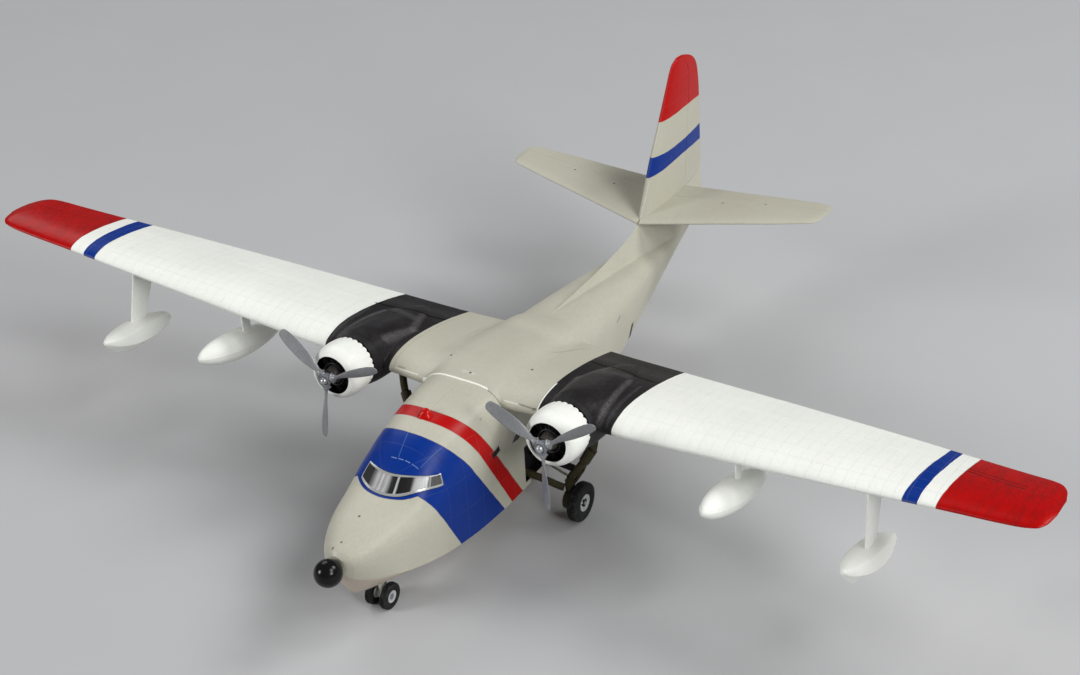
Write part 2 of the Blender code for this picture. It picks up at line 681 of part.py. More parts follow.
def make_stores(finishes, wing_spaces):
    """The drop tanks and the fixed floats, each under its own pylon or strut."""
    for side, sign in SIDES:
        x, station, height, pitch, yaw = TANK_SEATS[side]
        place = (x, station_y(station), height)
        turn = (Matrix.Rotation(radians(yaw), 4, "Z") @ Matrix.Rotation(radians(pitch), 4, "X")).to_euler()
        named_object("drop_tank_" + side, turned(tank_profile(), 18), finishes["white"], place, turn)
        space = named_object("drop_tank_space_" + side, turned(tank_profile(GAP), 18), None, place, turn)
        pylon_rings = []
        for height in PYLON_ENDS:
            ring = surface_ring(0.0, *PYLON_STATIONS, 0.0, PYLON_RATIO)
            pylon_rings.append([(x + z, y, height) for _, y, z in ring])
        pylon = named_object("tank_pylon_" + side, lofted(pylon_rings), finishes["white"])
        boolean(pylon, space, "DIFFERENCE")
        boolean(pylon, wing_spaces[side], "DIFFERENCE")

        make_float(side, sign, finishes["white"], wing_spaces[side])


def float_rings(grow=0.0):
    """The float's sections about its pivot: a ridged deck, flat sides and a keeled bottom."""
    pivot_station, pivot_height = FLOAT_PIVOT
    made = []
    for station, ridge, shoulder_x, shoulder_z, chine_x, chine_z, keel in FLOAT_SECTIONS:
        half = [(0.0, ridge + grow), (shoulder_x + grow, shoulder_z), (chine_x + grow, chine_z)]
        ring = [*half, (0.0, keel - grow), *[(-x, z) for x, z in half[:0:-1]]]
        made.append([(x, station - pivot_station, z - pivot_height) for x, z in ring])
    return made


def make_float(side, sign, finish, wing_space):
    x, station, height, *angles = FLOAT_SEATS[side]
    pitch, roll, yaw = (radians(angle) for angle in angles)
    pivot = (x, station_y(station), height)
    turn = Matrix.Rotation(yaw, 4, "Z") @ Matrix.Rotation(roll, 4, "Y") @ Matrix.Rotation(pitch, 4, "X")
    named_object("float_" + side, lofted(float_rings()), finish, pivot, turn.to_euler())
    space = named_object("float_space_" + side, lofted(float_rings(GAP)), None, pivot, turn.to_euler())
    strut_rings = []
    for height, lead, chord in STRUT_ENDS[side]:
        ring = surface_ring(0.0, lead, lead + chord, 0.0, STRUT_THICKNESS / chord)
        strut_rings.append([(sign * STRUT_X + z, y, height) for _, y, z in ring])
    strut = named_object("float_strut_" + side, lofted(strut_rings), finish)
    boolean(strut, space, "DIFFERENCE")
    boolean(strut, wing_space, "DIFFERENCE")


def make_wheel(name, side, sign, place, size, finishes, segments):
    """A tyre, with one flat of its tread on the ground, and its hub. Size: radius, width, hub radius."""
    radius, width, hub_radius = size
    half = width / 2
    bore = hub_radius + GAP
    tread = radius / cos(pi / segments)
    section = [(half * place_over, bore + (tread - bore) * share) for place_over, share in TYRE_SECTION]
    flat_down = -pi / 2 + pi / segments
    tyre = turned(section + section[:1], segments, "X", flat_down)
    named_object(f"{name}_tyre_{side}", tyre, finishes["tyre"], place)

    drill_radius = AXLE_RADIUS + GAP
    inner = -sign * width * 0.42
    outer = sign * width * 0.42
    depth = sign * width * 0.1
    hub = [
        (inner, drill_radius), (inner, hub_radius), (outer * 0.8, hub_radius), (outer, hub_radius * 0.72),
        (outer, 0.8), (outer + sign * 0.5, 0.5),
    ]
    made = named_object(f"{name}_hub_{side}", turned(hub, 18, "X"), finishes["hub"], place)
    drill = turned([(inner * 1.4, drill_radius), (depth, drill_radius)], 12, "X")
    boolean(made, named_object(f"{name}_bore_{side}", drill, None, place), "DIFFERENCE")


def make_main_gear(finishes, hull):
    size = (MAIN_TYRE_RADIUS, MAIN_TYRE_WIDTH, MAIN_HUB_RADIUS)
    for side, sign in SIDES:
        def at(point):
            return (sign * point[0], station_y(point[1]), point[2])

        place = at((MAIN_WHEEL_X, MAIN_WHEEL_STATION, MAIN_TYRE_RADIUS))
        make_wheel("main", side, sign, place, size, finishes, 24)

        leg_shape = tube([at(p) for p in LEG_POINTS], LEG_RADIUS)
        leg = named_object("main_leg_" + side, leg_shape, finishes["olive"])
        axle_ends = [(x, MAIN_WHEEL_STATION, MAIN_TYRE_RADIUS) for x in (DRUM_X - 1.5, MAIN_WHEEL_X + 0.1)]
        axle = tube([at(p) for p in axle_ends], AXLE_RADIUS, 12)
        boolean(leg, named_object("main_axle_" + side, axle), "UNION")
        drum = [(sign * x, radius) for x, radius in DRUM_PROFILE]
        drum_place = at((DRUM_X, MAIN_WHEEL_STATION, MAIN_TYRE_RADIUS))
        drum_shape = turned(drum[::sign], 18, "X")
        boolean(leg, named_object("brake_drum_" + side, drum_shape, None, drum_place), "UNION")

        well = bmesh.new()
        bmesh.ops.create_cube(well, size=1.0)
        spans = (WELL_X, WELL_STATIONS, WELL_HEIGHTS)
        bmesh.ops.scale(well, vec=[high - low for low, high in spans], verts=well.verts)
        middle = at([(low + high) / 2 for low, high in spans])
        boolean(hull, named_object("wheel_well_" + side, well, None, middle), "DIFFERENCE")

        arm = tube([at(p) for p in ARM_POINTS], ARM_RADIUS, squash=ARM_SQUASH)
        named_object("main_arm_" + side, arm, finishes["olive"])
        beam = tube([at(p) for p in BEAM_POINTS], BEAM_RADIUS)
        named_object("main_beam_" + side, beam, finishes["gear_black"])
        rod = tube([at(p) for p in ROD_POINTS], ROD_RADIUS, 6)
        named_object("main_rod_" + side, rod, finishes["pale"])


def make_nose_gear(finishes):
    """Twin nose wheels on one axle that turns in the boss of a short leg."""
    middle = (0.0, station_y(NOSE_WHEEL_STATION), NOSE_TYRE_RADIUS)
    size = (NOSE_TYRE_RADIUS, NOSE_TYRE_WIDTH, NOSE_HUB_RADIUS)
    for side, sign in SIDES:
        place = (sign * NOSE_WHEEL_X, middle[1], middle[2])
        make_wheel("nose", side, sign, place, size, finishes, 20)
    axle = turned([(-NOSE_WHEEL_X, AXLE_RADIUS), (NOSE_WHEEL_X, AXLE_RADIUS)], 12, "X")
    named_object("nose_axle", axle, finishes["pale"], middle)
    leg_top = interpolate(HULL_SECTIONS, NOSE_WHEEL_STATION, 1) - GAP
    leg_shape = tube([middle, (0.0, middle[1], leg_top)], NOSE_LEG_RADIUS, 12)
    leg = named_object("nose_leg", leg_shape, finishes["pale"])
    half, radius = NOSE_BOSS
    boss = named_object("nose_boss", turned([(-half, radius), (half, radius)], 14, "X"), None, middle)
    boolean(leg, boss, "UNION")
    drill_radius = AXLE_RADIUS + GAP
    drill = turned([(-2 * half, drill_radius), (2 * half, drill_radius)], 12, "X")
    boolean(leg, named_object("nose_leg_bore", drill, None, middle), "DIFFERENCE")


def main():
    for old in list(bpy.data.objects):
        bpy.data.objects.remove(old, do_unlink=True)
    finishes = {
        "grey": material("warm_grey_paint", (0.60, 0.59, 0.52), 0.45),
        "white": material("white_paint", (0.86, 0.86, 0.83), 0.4),
        "charcoal": material("charcoal_paint", (0.04, 0.04, 0.045), 0.6),
        "black": material("gloss_black_paint", (0.01, 0.01, 0.01), 0.15),
        "red": material("red_paint", (0.62, 0.02, 0.02), 0.3),
        "clear": material("clear_plastic", (0.35, 0.36, 0.38), 0.1, 0.3),
        "engine": material("engine_grey", (0.12, 0.12, 0.12), 0.5, 0.3),
        "metal": material("propeller_grey", (0.32, 0.33, 0.34), 0.4, 0.4),
        "olive": material("olive_paint", (0.09, 0.08, 0.05), 0.6),
        "pale": material("pale_grey_paint", (0.5, 0.5, 0.46), 0.5),
        "gear_black": material("gear_black_paint", (0.02, 0.02, 0.02), 0.6),
        "tyre": material("tyre_black_paint", (0.015, 0.015, 0.015), 0.6),
        "hub": material("hub_grey", (0.55, 0.56, 0.56), 0.5),
    }
    hull = make_hull(finishes["grey"])
    wing_spaces = make_wing(finishes, hull)
    make_tail(finishes, hull)
    make_nose(finishes)
    make_windshield(finishes, hull)
    make_engines(finishes, wing_spaces)
    make_stores(finishes, wing_spaces)
    make_main_gear(finishes, hull)
    make_nose_gear(finishes)


main()
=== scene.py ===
# %% [markdown]
# # A painted model of a flying boat
#
# The real object is a small plastic kit, about 1:72, glued together and painted by hand: a stepped hull,
# a high wing with two radial engines, two floats, two drop tanks, and wheels on which it stands.
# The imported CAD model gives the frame. Here each moulding is made again as a finer skin from the same
# few sections, and gets paint, panel lines and wear.

# %% Load the frame
from math import cos, pi, radians, sin, sqrt

import bmesh
import bpy
import numpy as np
from mathutils import Matrix, Vector


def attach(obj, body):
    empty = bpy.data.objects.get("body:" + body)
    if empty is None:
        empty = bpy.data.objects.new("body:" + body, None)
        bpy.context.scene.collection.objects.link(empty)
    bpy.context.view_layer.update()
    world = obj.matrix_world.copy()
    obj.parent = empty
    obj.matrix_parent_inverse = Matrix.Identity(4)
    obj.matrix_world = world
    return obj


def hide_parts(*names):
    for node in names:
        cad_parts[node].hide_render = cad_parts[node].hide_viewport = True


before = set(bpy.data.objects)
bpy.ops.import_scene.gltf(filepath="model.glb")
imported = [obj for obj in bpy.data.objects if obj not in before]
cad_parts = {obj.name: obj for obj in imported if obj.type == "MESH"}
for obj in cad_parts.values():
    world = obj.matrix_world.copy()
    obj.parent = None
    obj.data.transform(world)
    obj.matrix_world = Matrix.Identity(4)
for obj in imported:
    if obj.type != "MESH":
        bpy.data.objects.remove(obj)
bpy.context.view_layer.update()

MM = 0.001
MIDDLE_STATION = 130.24  # stations count aft from the nose in mm; this one lies at y = 0
SIDES = (("port", 1), ("starboard", -1))

# %% [markdown]
# ## Tools for skins
#
# Mouldings like these are drawn as sections and faired. A straight blend between sections would show
# every section as a kink, and a free spline can bulge past them, so each column of a table is read
# through a curve that never overshoots its points. A skin is then a grid of points with one row per
# section, which numpy makes quickly, and a UV map that keeps distances in millimetres for the paint.


# %% Smooth reading of a table
def faired(table, column):
    """A function of the table's first column that passes through another column without overshoot."""
    xs = np.array([row[0] for row in table], float)
    ys = np.array([row[column] for row in table], float)
    steps = np.diff(xs)
    slopes = np.diff(ys) / steps
    tangents = np.zeros(len(xs))
    tangents[0], tangents[-1] = slopes[0], slopes[-1]
    for i in range(1, len(xs) - 1):
        before, after = slopes[i - 1], slopes[i]
        if before * after > 0:
            first, second = 2 * steps[i] + steps[i - 1], steps[i] + 2 * steps[i - 1]
            tangents[i] = (first + second) / (first / before + second / after)

    def read(at):
        at = np.clip(at, xs[0], xs[-1])
        i = np.clip(np.searchsorted(xs, at) - 1, 0, len(steps) - 1)
        t = (at - xs[i]) / steps[i]
        blend = (2 * t**3 - 3 * t**2 + 1) * ys[i] + (3 * t**2 - 2 * t**3) * ys[i + 1]
        return blend + steps[i] * ((t**3 - 2 * t**2 + t) * tangents[i] + (t**3 - t**2) * tangents[i + 1])

    return read


def smooth_max(a, b, radius):
    """The greater of two heights, with a fillet where they cross."""
    return (a + b + np.sqrt((a - b) ** 2 + radius**2)) / 2


def points_of(*parts):
    """Rows of coordinates from arrays, with single numbers repeated all along."""
    return np.stack(np.broadcast_arrays(*parts), -1)


def turns_of(count):
    """Evenly spaced angles of a full turn."""
    return 2 * pi * np.arange(count) / count


def station_y(station):
    return station - MIDDLE_STATION


def both_halves(half):
    """A closed ring from one half of a section that starts and ends on the middle plane."""
    return np.concatenate([half, half[-2:0:-1] * [-1, 1, 1]])


def round_leaf(upper, lower):
    """A closed ring from the two faces of a leaf, both listed from the front."""
    return np.concatenate([upper, lower[::-1]])


def place_of(x, station, height):
    """The matrix that moves a shape to a station."""
    return Matrix.Translation((x, station_y(station), height))


# %% Grids, turned solids and tubes
def grid(rows, closed=True, caps=True, uv=None):
    """Points, faces and UVs of a skin through rows of points."""
    rows = np.asarray(rows, float)
    count, width = rows.shape[:2]
    r = np.arange(count - 1)[:, None] * width
    c = np.arange(width if closed else width - 1)[None, :]
    n = (c + 1) % width
    faces = np.stack([r + c, r + n, r + width + n, r + width + c], -1).reshape(-1, 4).tolist()
    if caps and closed:
        faces.append(list(range(width))[::-1])
        faces.append(list(range((count - 1) * width, count * width)))
    flat_uv = None if uv is None else np.asarray(uv, float).reshape(-1, 2)
    return rows.reshape(-1, 3), faces, flat_uv


def turned(profile, segments, axis="Y", first=0.0, closed=False):
    """A solid of revolution from (place, radius) pairs. A closed profile makes a ring."""
    turns = first + turns_of(segments)
    rows = []
    for place, radius in profile:
        across, up = radius * np.cos(turns), radius * np.sin(turns)
        rows.append(points_of(across, place, up) if axis == "Y" else points_of(place, across, up))
    if closed:
        rows.append(rows[0])
    return grid(rows, caps=not closed)


def tube(points, radius, sides, squash=1.0):
    """A bar of round or flattened section through the points."""
    path = [Vector(point) for point in points]
    rows = []
    for i, point in enumerate(path):
        along = (path[min(i + 1, len(path) - 1)] - path[max(i - 1, 0)]).normalized()
        across = along.cross(Vector((0, 0, 1)) if abs(along.z) < 0.9 else Vector((0, 1, 0))).normalized()
        up = across.cross(along)
        ring = []
        for k in range(sides):
            turn = 2 * pi * (k + 0.5) / sides
            ring.append(point + across * radius * squash * cos(turn) + up * radius * sin(turn))
        rows.append(ring)
    return grid(rows)


def block(low, high):
    """A box between two corners."""
    (a, b, c), (d, e, f) = low, high
    return grid([[(a, b, z), (d, b, z), (d, e, z), (a, e, z)] for z in (c, f)])


def softly(points, steps=6):
    """More points on a smooth curve through a few, for bars that bend."""
    path = [Vector(p) for p in points]
    path = [path[0] * 2 - path[1], *path, path[-1] * 2 - path[-2]]
    out = []
    for a, b, c, d in zip(path, path[1:], path[2:], path[3:]):
        for k in range(steps):
            t = k / steps
            out.append(0.5 * (2 * b + (c - a) * t + (2 * a - 5 * b + 4 * c - d) * t**2
                              + (3 * b - a - 3 * c + d) * t**3))
    return [*out, path[-2]]


def moved(shape, matrix):
    points, faces, uv = shape
    return (np.c_[points, np.ones(len(points))] @ np.array(matrix).T)[:, :3], faces, uv


def joined(*shapes):
    """Several shapes as one."""
    points, faces, base = [], [], 0
    for shape in shapes:
        points.append(shape[0])
        faces += [[base + i for i in face] for face in shape[1]]
        base += len(shape[0])
    return np.concatenate(points), faces, None


def mirrored(shape, sign):
    return (shape[0] * np.array([sign, 1, 1]), shape[1], shape[2])


# %% From a shape to a piece on its body
def mesh_of(name, shape, finish):
    """A mesh with one finish from a shape in millimetres, with all its faces turned outwards."""
    points, faces, uv = shape
    mesh = bpy.data.meshes.new(name)
    mesh.from_pydata((np.asarray(points) * MM).tolist(), [], faces)
    if uv is not None:
        layer = mesh.uv_layers.new(name="surface")
        corners = np.zeros(len(mesh.loops), np.int32)
        mesh.loops.foreach_get("vertex_index", corners)
        layer.uv.foreach_set("vector", uv[corners].astype(np.float32).ravel())
    work = bmesh.new()
    work.from_mesh(mesh)
    bmesh.ops.remove_doubles(work, verts=work.verts, dist=1e-6)
    bmesh.ops.recalc_face_normals(work, faces=work.faces)
    work.to_mesh(mesh)
    work.free()
    mesh.materials.append(finish)
    return mesh


def put(name, data):
    """An object for a mesh, a lamp or a camera, linked to the scene."""
    made = bpy.data.objects.new(name, data)
    bpy.context.scene.collection.objects.link(made)
    return made


def piece(name, shape, finish, body="airframe", *, stands_for=None, sharp=35):
    """A piece of the model: rides a body and may stand for a CAD node."""
    mesh = mesh_of(name, shape, finish)
    mesh.shade_smooth()
    mesh.set_sharp_from_angle(angle=radians(sharp))
    made = put(name, mesh)
    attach(made, body)
    if stands_for:
        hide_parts(stands_for)
    return made


# %% [markdown]
# ## Camera, floor and light
#
# The photograph looks down on the port bow with a longer lens. Where the camera stood was solved
# beforehand from some forty points of the model, so here it is only set. The model stands on seamless
# pale paper under two soft lamps left and right of the camera, which give the two small highlights on
# the nose ball, and three more high on the right and behind, which give the soft shadows. Their powers
# were solved from a render of each lamp alone, so that the sum comes close to the photograph's tones.

# %% Camera
CAMERA_PLACE = Vector((302.6016, -338.583 - MIDDLE_STATION, 398.8635)) * MM
YAW, PITCH, ROLL = 0.5693295, 0.5614791, -0.0528626
LENS_PIXELS, PHOTO_WIDTH = 1837.5375, 1080

ahead = Vector((-sin(YAW) * cos(PITCH), cos(YAW) * cos(PITCH), -sin(PITCH)))
level_right = Vector((cos(YAW), sin(YAW), 0))
level_up = level_right.cross(ahead)
right = cos(ROLL) * level_right + sin(ROLL) * level_up
up = cos(ROLL) * level_up - sin(ROLL) * level_right
lens = bpy.data.cameras.new("photo_camera")
lens.sensor_width = 36
lens.lens = LENS_PIXELS / PHOTO_WIDTH * lens.sensor_width
lens.clip_start, lens.clip_end = 0.01, 50
camera = put("photo_camera", lens)
camera.matrix_world = Matrix.Translation(CAMERA_PLACE) @ Matrix((right, up, -ahead)).transposed().to_4x4()
bpy.context.scene.camera = camera
bpy.context.scene.view_settings.view_transform = "Standard"
print("lens", round(lens.lens, 2), "mm")

# %% Lamps and sky
LOOKED_AT, LAMP_DISTANCE = Vector((0, 0, 0.04)), 1.7
# Name, direction from the model, size in metres and power in watts
LAMPS = (
    ("left_lamp", (-0.646, -0.755, 0.42), 0.55, 12.6),
    ("right_lamp", (0.85, -0.36, 0.50), 0.55, 10.0),
    ("high_right_lamp", (0.75, -0.1, 0.85), 0.7, 9.4),
    ("back_right_lamp", (0.6, 0.5, 0.8), 0.7, 11.2),
    ("back_left_lamp", (-0.7, 0.4, 0.75), 0.9, 5.4),
)
for name, direction, size, power in LAMPS:
    lamp = bpy.data.lights.new(name, "AREA")
    lamp.shape = "DISK"
    lamp.size = size
    lamp.energy = power
    holder = put(name, lamp)
    holder.location = LOOKED_AT + Vector(direction).normalized() * LAMP_DISTANCE
    holder.rotation_euler = (holder.location - LOOKED_AT).to_track_quat("Z", "Y").to_euler()
sky = bpy.data.worlds.new("studio")
sky.use_nodes = True
background = sky.node_tree.nodes["Background"].inputs
background["Color"].default_value = (0.95, 0.97, 1.0, 1)
background["Strength"].default_value = 0.125
bpy.context.scene.world = sky
print("lamps:", len(LAMPS), "with", round(sum(row[-1] for row in LAMPS), 1), "W in all")

# %% [markdown]
# ## Paint effects that several finishes share
#
# Hand paint on small mouldings shows the same few things everywhere: the raised panel lines of the
# moulding, faint brush marks, band edges that waver a little, and high places rubbed by fingers. Each
# is a node group with named sockets, built once and given its own numbers in each material.


# %% A small helper for node trees
class Nodes:
    """Adds nodes to a tree and links them. A socket, a number or a colour may stand for any input."""

    def __init__(self, tree):
        self.tree = tree

    def add(self, kind, values=None, output=0, **settings):
        node = self.tree.nodes.new("ShaderNode" + kind)
        for key, value in settings.items():
            setattr(node, key, value)
        for key, value in (values or {}).items():
            self.feed(node.inputs[key], value)
        return node.outputs[output]

    def feed(self, socket, value):
        if isinstance(value, bpy.types.NodeSocket):
            self.tree.links.new(value, socket)
        elif hasattr(socket.default_value, "__len__") and not hasattr(value, "__len__"):
            socket.default_value = [value] * len(socket.default_value)
        elif socket.type == "RGBA" and len(value) == 3:
            socket.default_value = (*value, 1)
        else:
            socket.default_value = value

    def math(self, operation, *values, clamp=False):
        return self.add("Math", dict(enumerate(values)), operation=operation, use_clamp=clamp)

    def mix(self, factor, first, second):
        return self.add("Mix", {0: factor, 6: first, 7: second}, output=2, data_type="RGBA")

    def step(self, value, low, high, first=0.0, last=1.0):
        values = {"Value": value, "From Min": low, "From Max": high, "To Min": first, "To Max": last}
        return self.add("MapRange", values, interpolation_type="SMOOTHSTEP")

    def noise(self, place, scale, detail=2.0, roughness=0.5):
        return self.add("TexNoise", {"Vector": place, "Scale": scale, "Detail": detail, "Roughness": roughness})

    def vectors(self, operation, first, second, **settings):
        return self.add("VectorMath", {0: first, 1: second}, operation=operation, **settings)

    def scaled(self, place, factors):
        return self.vectors("MULTIPLY", place, factors)

    def times(self, first, second):
        return self.math("MULTIPLY", first, second)

    def plus(self, first, second):
        return self.math("ADD", first, second)

    def minus(self, first, second):
        return self.math("SUBTRACT", first, second)

    def absolute(self, value):
        return self.math("ABSOLUTE", value)

    def apart(self, first, second):
        """How far two numbers lie apart."""
        return self.absolute(self.minus(first, second))

    def split(self, vector):
        return self.add("SeparateXYZ", {0: vector}).node.outputs

    def flat(self, first, second):
        """A place on a flat view, for marks."""
        return self.add("CombineXYZ", {0: first, 1: second})

    def surface(self):
        """The place on the skin's own UV map, in millimetres."""
        return self.add("UVMap", uv_map="surface")


def group(name, inputs, outputs):
    """An empty node group with named sockets: (name, kind, value) for inputs and (name, kind) for outputs."""
    tree = bpy.data.node_groups.new(name, "ShaderNodeTree")
    for label, kind, value in inputs:
        socket = tree.interface.new_socket(name=label, in_out="INPUT", socket_type="NodeSocket" + kind)
        if value is not None:
            socket.default_value = value
    for label, kind in outputs:
        tree.interface.new_socket(name=label, in_out="OUTPUT", socket_type="NodeSocket" + kind)
    entry = tree.nodes.new("NodeGroupInput")
    leave = tree.nodes.new("NodeGroupOutput")
    return Nodes(tree), entry.outputs, leave.inputs


def use(nodes, tree, values):
    """Places a group in a tree and gives back its outputs."""
    node = nodes.tree.nodes.new("ShaderNodeGroup")
    node.node_tree = tree
    for key, value in values.items():
        nodes.feed(node.inputs[key], value)
    return node.outputs


# %% Raised panel lines
g, given, out = group(
    "panel_lines",
    (("Place", "Vector", None), ("Spacing Along", "Float", 8.0), ("Spacing Across", "Float", 8.0),
     ("Line Width", "Float", 0.12)),
    (("Line", "Float"), ("Dots", "Float")),
)
split = g.split(given["Place"])
near_along = g.math("PINGPONG", split["X"], g.times(given["Spacing Along"], 0.5))
near_across = g.math("PINGPONG", split["Y"], g.times(given["Spacing Across"], 0.5))
nearest = g.math("MINIMUM", near_along, near_across)
line = g.step(nearest, 0.0, given["Line Width"], 1.0, 0.0)
g.feed(out["Line"], line)
dot_along = g.math("PINGPONG", split["X"], 0.45)
dot_across = g.math("PINGPONG", split["Y"], g.times(given["Spacing Across"], 0.25))
reach = g.math("SQRT", g.plus(g.math("POWER", dot_along, 2.0), g.math("POWER", dot_across, 2.0)))
g.feed(out["Dots"], g.step(reach, 0.05, 0.17, 1.0, 0.0))
PANEL_LINES = g.tree

# %% Brush marks
g, given, out = group(
    "brush_marks",
    (("Place", "Vector", None), ("Stretch", "Vector", (1.0, 1.0, 1.0)), ("Fineness", "Float", 1.0)),
    (("Tone", "Float"), ("Height", "Float")),
)
stretched = g.scaled(given["Place"], given["Stretch"])
fine = g.noise(stretched, g.times(given["Fineness"], 1.4), 4.0, 0.6)
patches = g.noise(given["Place"], 0.045, 3.0, 0.55)
g.feed(out["Tone"], g.plus(g.times(fine, 0.55), g.times(patches, 0.45)))
g.feed(out["Height"], fine)
BRUSH_MARKS = g.tree

# %% Edge of a painted band
g, given, out = group(
    "band_edge",
    (("Value", "Float", 0.0), ("Edge", "Float", 0.0), ("Place", "Vector", None), ("Waver", "Float", 0.25)),
    (("Beyond", "Float"), ("Rim", "Float")),
)
waver = g.times(g.minus(g.noise(given["Place"], 0.16, 2.0), 0.5), given["Waver"])
over = g.plus(g.minus(given["Value"], given["Edge"]), waver)
g.feed(out["Beyond"], g.step(over, -0.07, 0.07))
g.feed(out["Rim"], g.step(g.absolute(over), 0.0, 0.28, 1.0, 0.0))
BAND_EDGE = g.tree

# %% Rubbed high places
g, given, out = group(
    "rubbed_places",
    (("Place", "Vector", None), ("Amount", "Float", 0.5), ("Stretch", "Vector", (1.0, 1.0, 1.0))),
    (("Rub", "Float"),),
)
stretched = g.scaled(given["Place"], given["Stretch"])
scratches = g.noise(stretched, 0.9, 5.0, 0.7)
broad = g.noise(given["Place"], 0.09, 3.0, 0.6)
both = g.times(g.step(scratches, 0.42, 0.72), g.step(broad, 0.38, 0.66))
g.feed(out["Rub"], g.times(both, given["Amount"]))
RUBBED = g.tree

# %% Short marks of glue, pencil and wear
g, given, out = group(
    "short_mark",
    (("Place", "Vector", None), ("From", "Vector", (0.0, 0.0, 0.0)), ("To", "Vector", (1.0, 0.0, 0.0)),
     ("Width", "Float", 0.4)),
    (("Mark", "Float"),),
)
along = g.vectors("SUBTRACT", given["To"], given["From"])
away = g.vectors("SUBTRACT", given["Place"], given["From"])
onto = g.vectors("DOT_PRODUCT", away, along, output="Value")
length = g.vectors("DOT_PRODUCT", along, along, output="Value")
share = g.math("DIVIDE", onto, g.math("MAXIMUM", length, 0.0001), clamp=True)
nearest = g.add("VectorMath", {0: along, "Scale": share}, operation="SCALE")
distance = g.vectors("DISTANCE", away, nearest, output="Value")
inner = g.times(g.math("MINIMUM", given["Width"], 0.8), 0.35)
outer_edge = g.times(given["Width"], 0.65)
g.feed(out["Mark"], g.step(distance, inner, outer_edge, 1.0, 0.0))
SHORT_MARK = g.tree

# %% Patches with slanted sides
g, given, out = group(
    "slanted_patch",
    (("Place", "Vector", None), ("Centre", "Vector", (0.0, 0.0, 0.0)), ("Half Width", "Float", 1.0),
     ("Half Height", "Float", 1.0), ("Lean", "Float", 0.0), ("Rise", "Float", 0.0)),
    (("Patch", "Float"),),
)
split = g.split(g.vectors("SUBTRACT", given["Place"], given["Centre"]))
across = g.minus(split["X"], g.times(given["Lean"], split["Y"]))
up_by = g.minus(split["Y"], g.times(given["Rise"], split["X"]))
out_by = g.math("MAXIMUM", g.minus(g.absolute(across), given["Half Width"]),
                g.minus(g.absolute(up_by), given["Half Height"]))
g.feed(out["Patch"], g.step(out_by, -0.12, 0.12, 1.0, 0.0))
SLANTED_PATCH = g.tree
print("groups:", [tree.name for tree in bpy.data.node_groups])


# %% Painting marks over a colour
def with_marks(nodes, place, shade, rows, only=None):
    """Short marks over a colour, from rows of both ends, width, strength and colour, where only is 1."""
    for start, end, width, strength, colour in rows:
        sockets = {"Place": place, "From": (*start, 0.0), "To": (*end, 0.0), "Width": width}
        mark = nodes.times(use(nodes, SHORT_MARK, sockets)["Mark"], strength)
        shade = nodes.mix(mark if only is None else nodes.times(mark, only), shade, colour)
    return shade


def brightened(nodes, shade, factor):
    """A colour times a number that changes over the surface."""
    grey = nodes.add("CombineXYZ", {0: factor, 1: factor, 2: factor})
    return nodes.scaled(shade, grey)


def ramp(nodes, value, stops):
    """A colour ramp over a value, with given stops of (place, brightness)."""
    node = nodes.tree.nodes.new("ShaderNodeValToRGB")
    nodes.feed(node.inputs[0], value)
    places = node.color_ramp.elements
    for place, level in stops[1:-1]:
        places.new(place)
    for element, (place, level) in zip(places, stops):
        element.position = place
    for element, (place, level) in zip(places, stops):
        element.color = (level, level, level, 1)
    return node.outputs["Color"]


# %% [markdown]
# ## Plain paints
#
# Most small pieces carry one coat of one paint. A function makes such a coat: the colour drifts a little
# with the brush marks, the same marks roughen the gloss, and a bump shows their ridges. The gloss itself
# is one number on the shader, so it stays there.


# %% One coat of paint
def begin(name):
    made = bpy.data.materials.new(name)
    made.use_nodes = True
    nodes = Nodes(made.node_tree)
    shader = made.node_tree.nodes["Principled BSDF"]
    shader.inputs["Specular IOR Level"].default_value = 0.2
    place = nodes.add("TexCoord", output="Object")
    return made, nodes, shader, nodes.scaled(place, (1000, 1000, 1000))


def cover(nodes, shader, colour, rough, height, relief):
    """Colour, roughness and a bump on a shader. A height of one stands relief millimetres proud."""
    nodes.feed(shader.inputs["Base Color"], colour)
    nodes.feed(shader.inputs["Roughness"], rough)
    nodes.feed(shader.inputs["Normal"], nodes.add("Bump", {"Height": height, "Distance": relief * MM}))


def tinted(colour, factor):
    return tuple(min(1.0, c * factor) for c in colour)


def coat(name, colour, gloss=0.4, stretch=(1, 1, 1), drift=0.12, rub=0.0, rub_colour=(0.4, 0.4, 0.4),
         metal=0.0, relief=0.03):
    """A hand-painted finish: colour, roughness, direction of the brush, and how much is rubbed through."""
    made, nodes, shader, place = begin(name)
    marks = use(nodes, BRUSH_MARKS, {"Place": place, "Stretch": stretch})
    drifting = nodes.step(marks["Tone"], 0.35, 0.65)
    shade = nodes.mix(drifting, tinted(colour, 1 - drift), tinted(colour, 1 + drift))
    if rub:
        worn = use(nodes, RUBBED, {"Place": place, "Amount": rub, "Stretch": stretch})["Rub"]
        shade = nodes.mix(worn, shade, rub_colour)
    rough = nodes.step(marks["Tone"], 0.3, 0.7, gloss - 0.06, gloss + 0.08)
    shader.inputs["Metallic"].default_value = metal
    cover(nodes, shader, shade, rough, marks["Height"], relief)
    return made


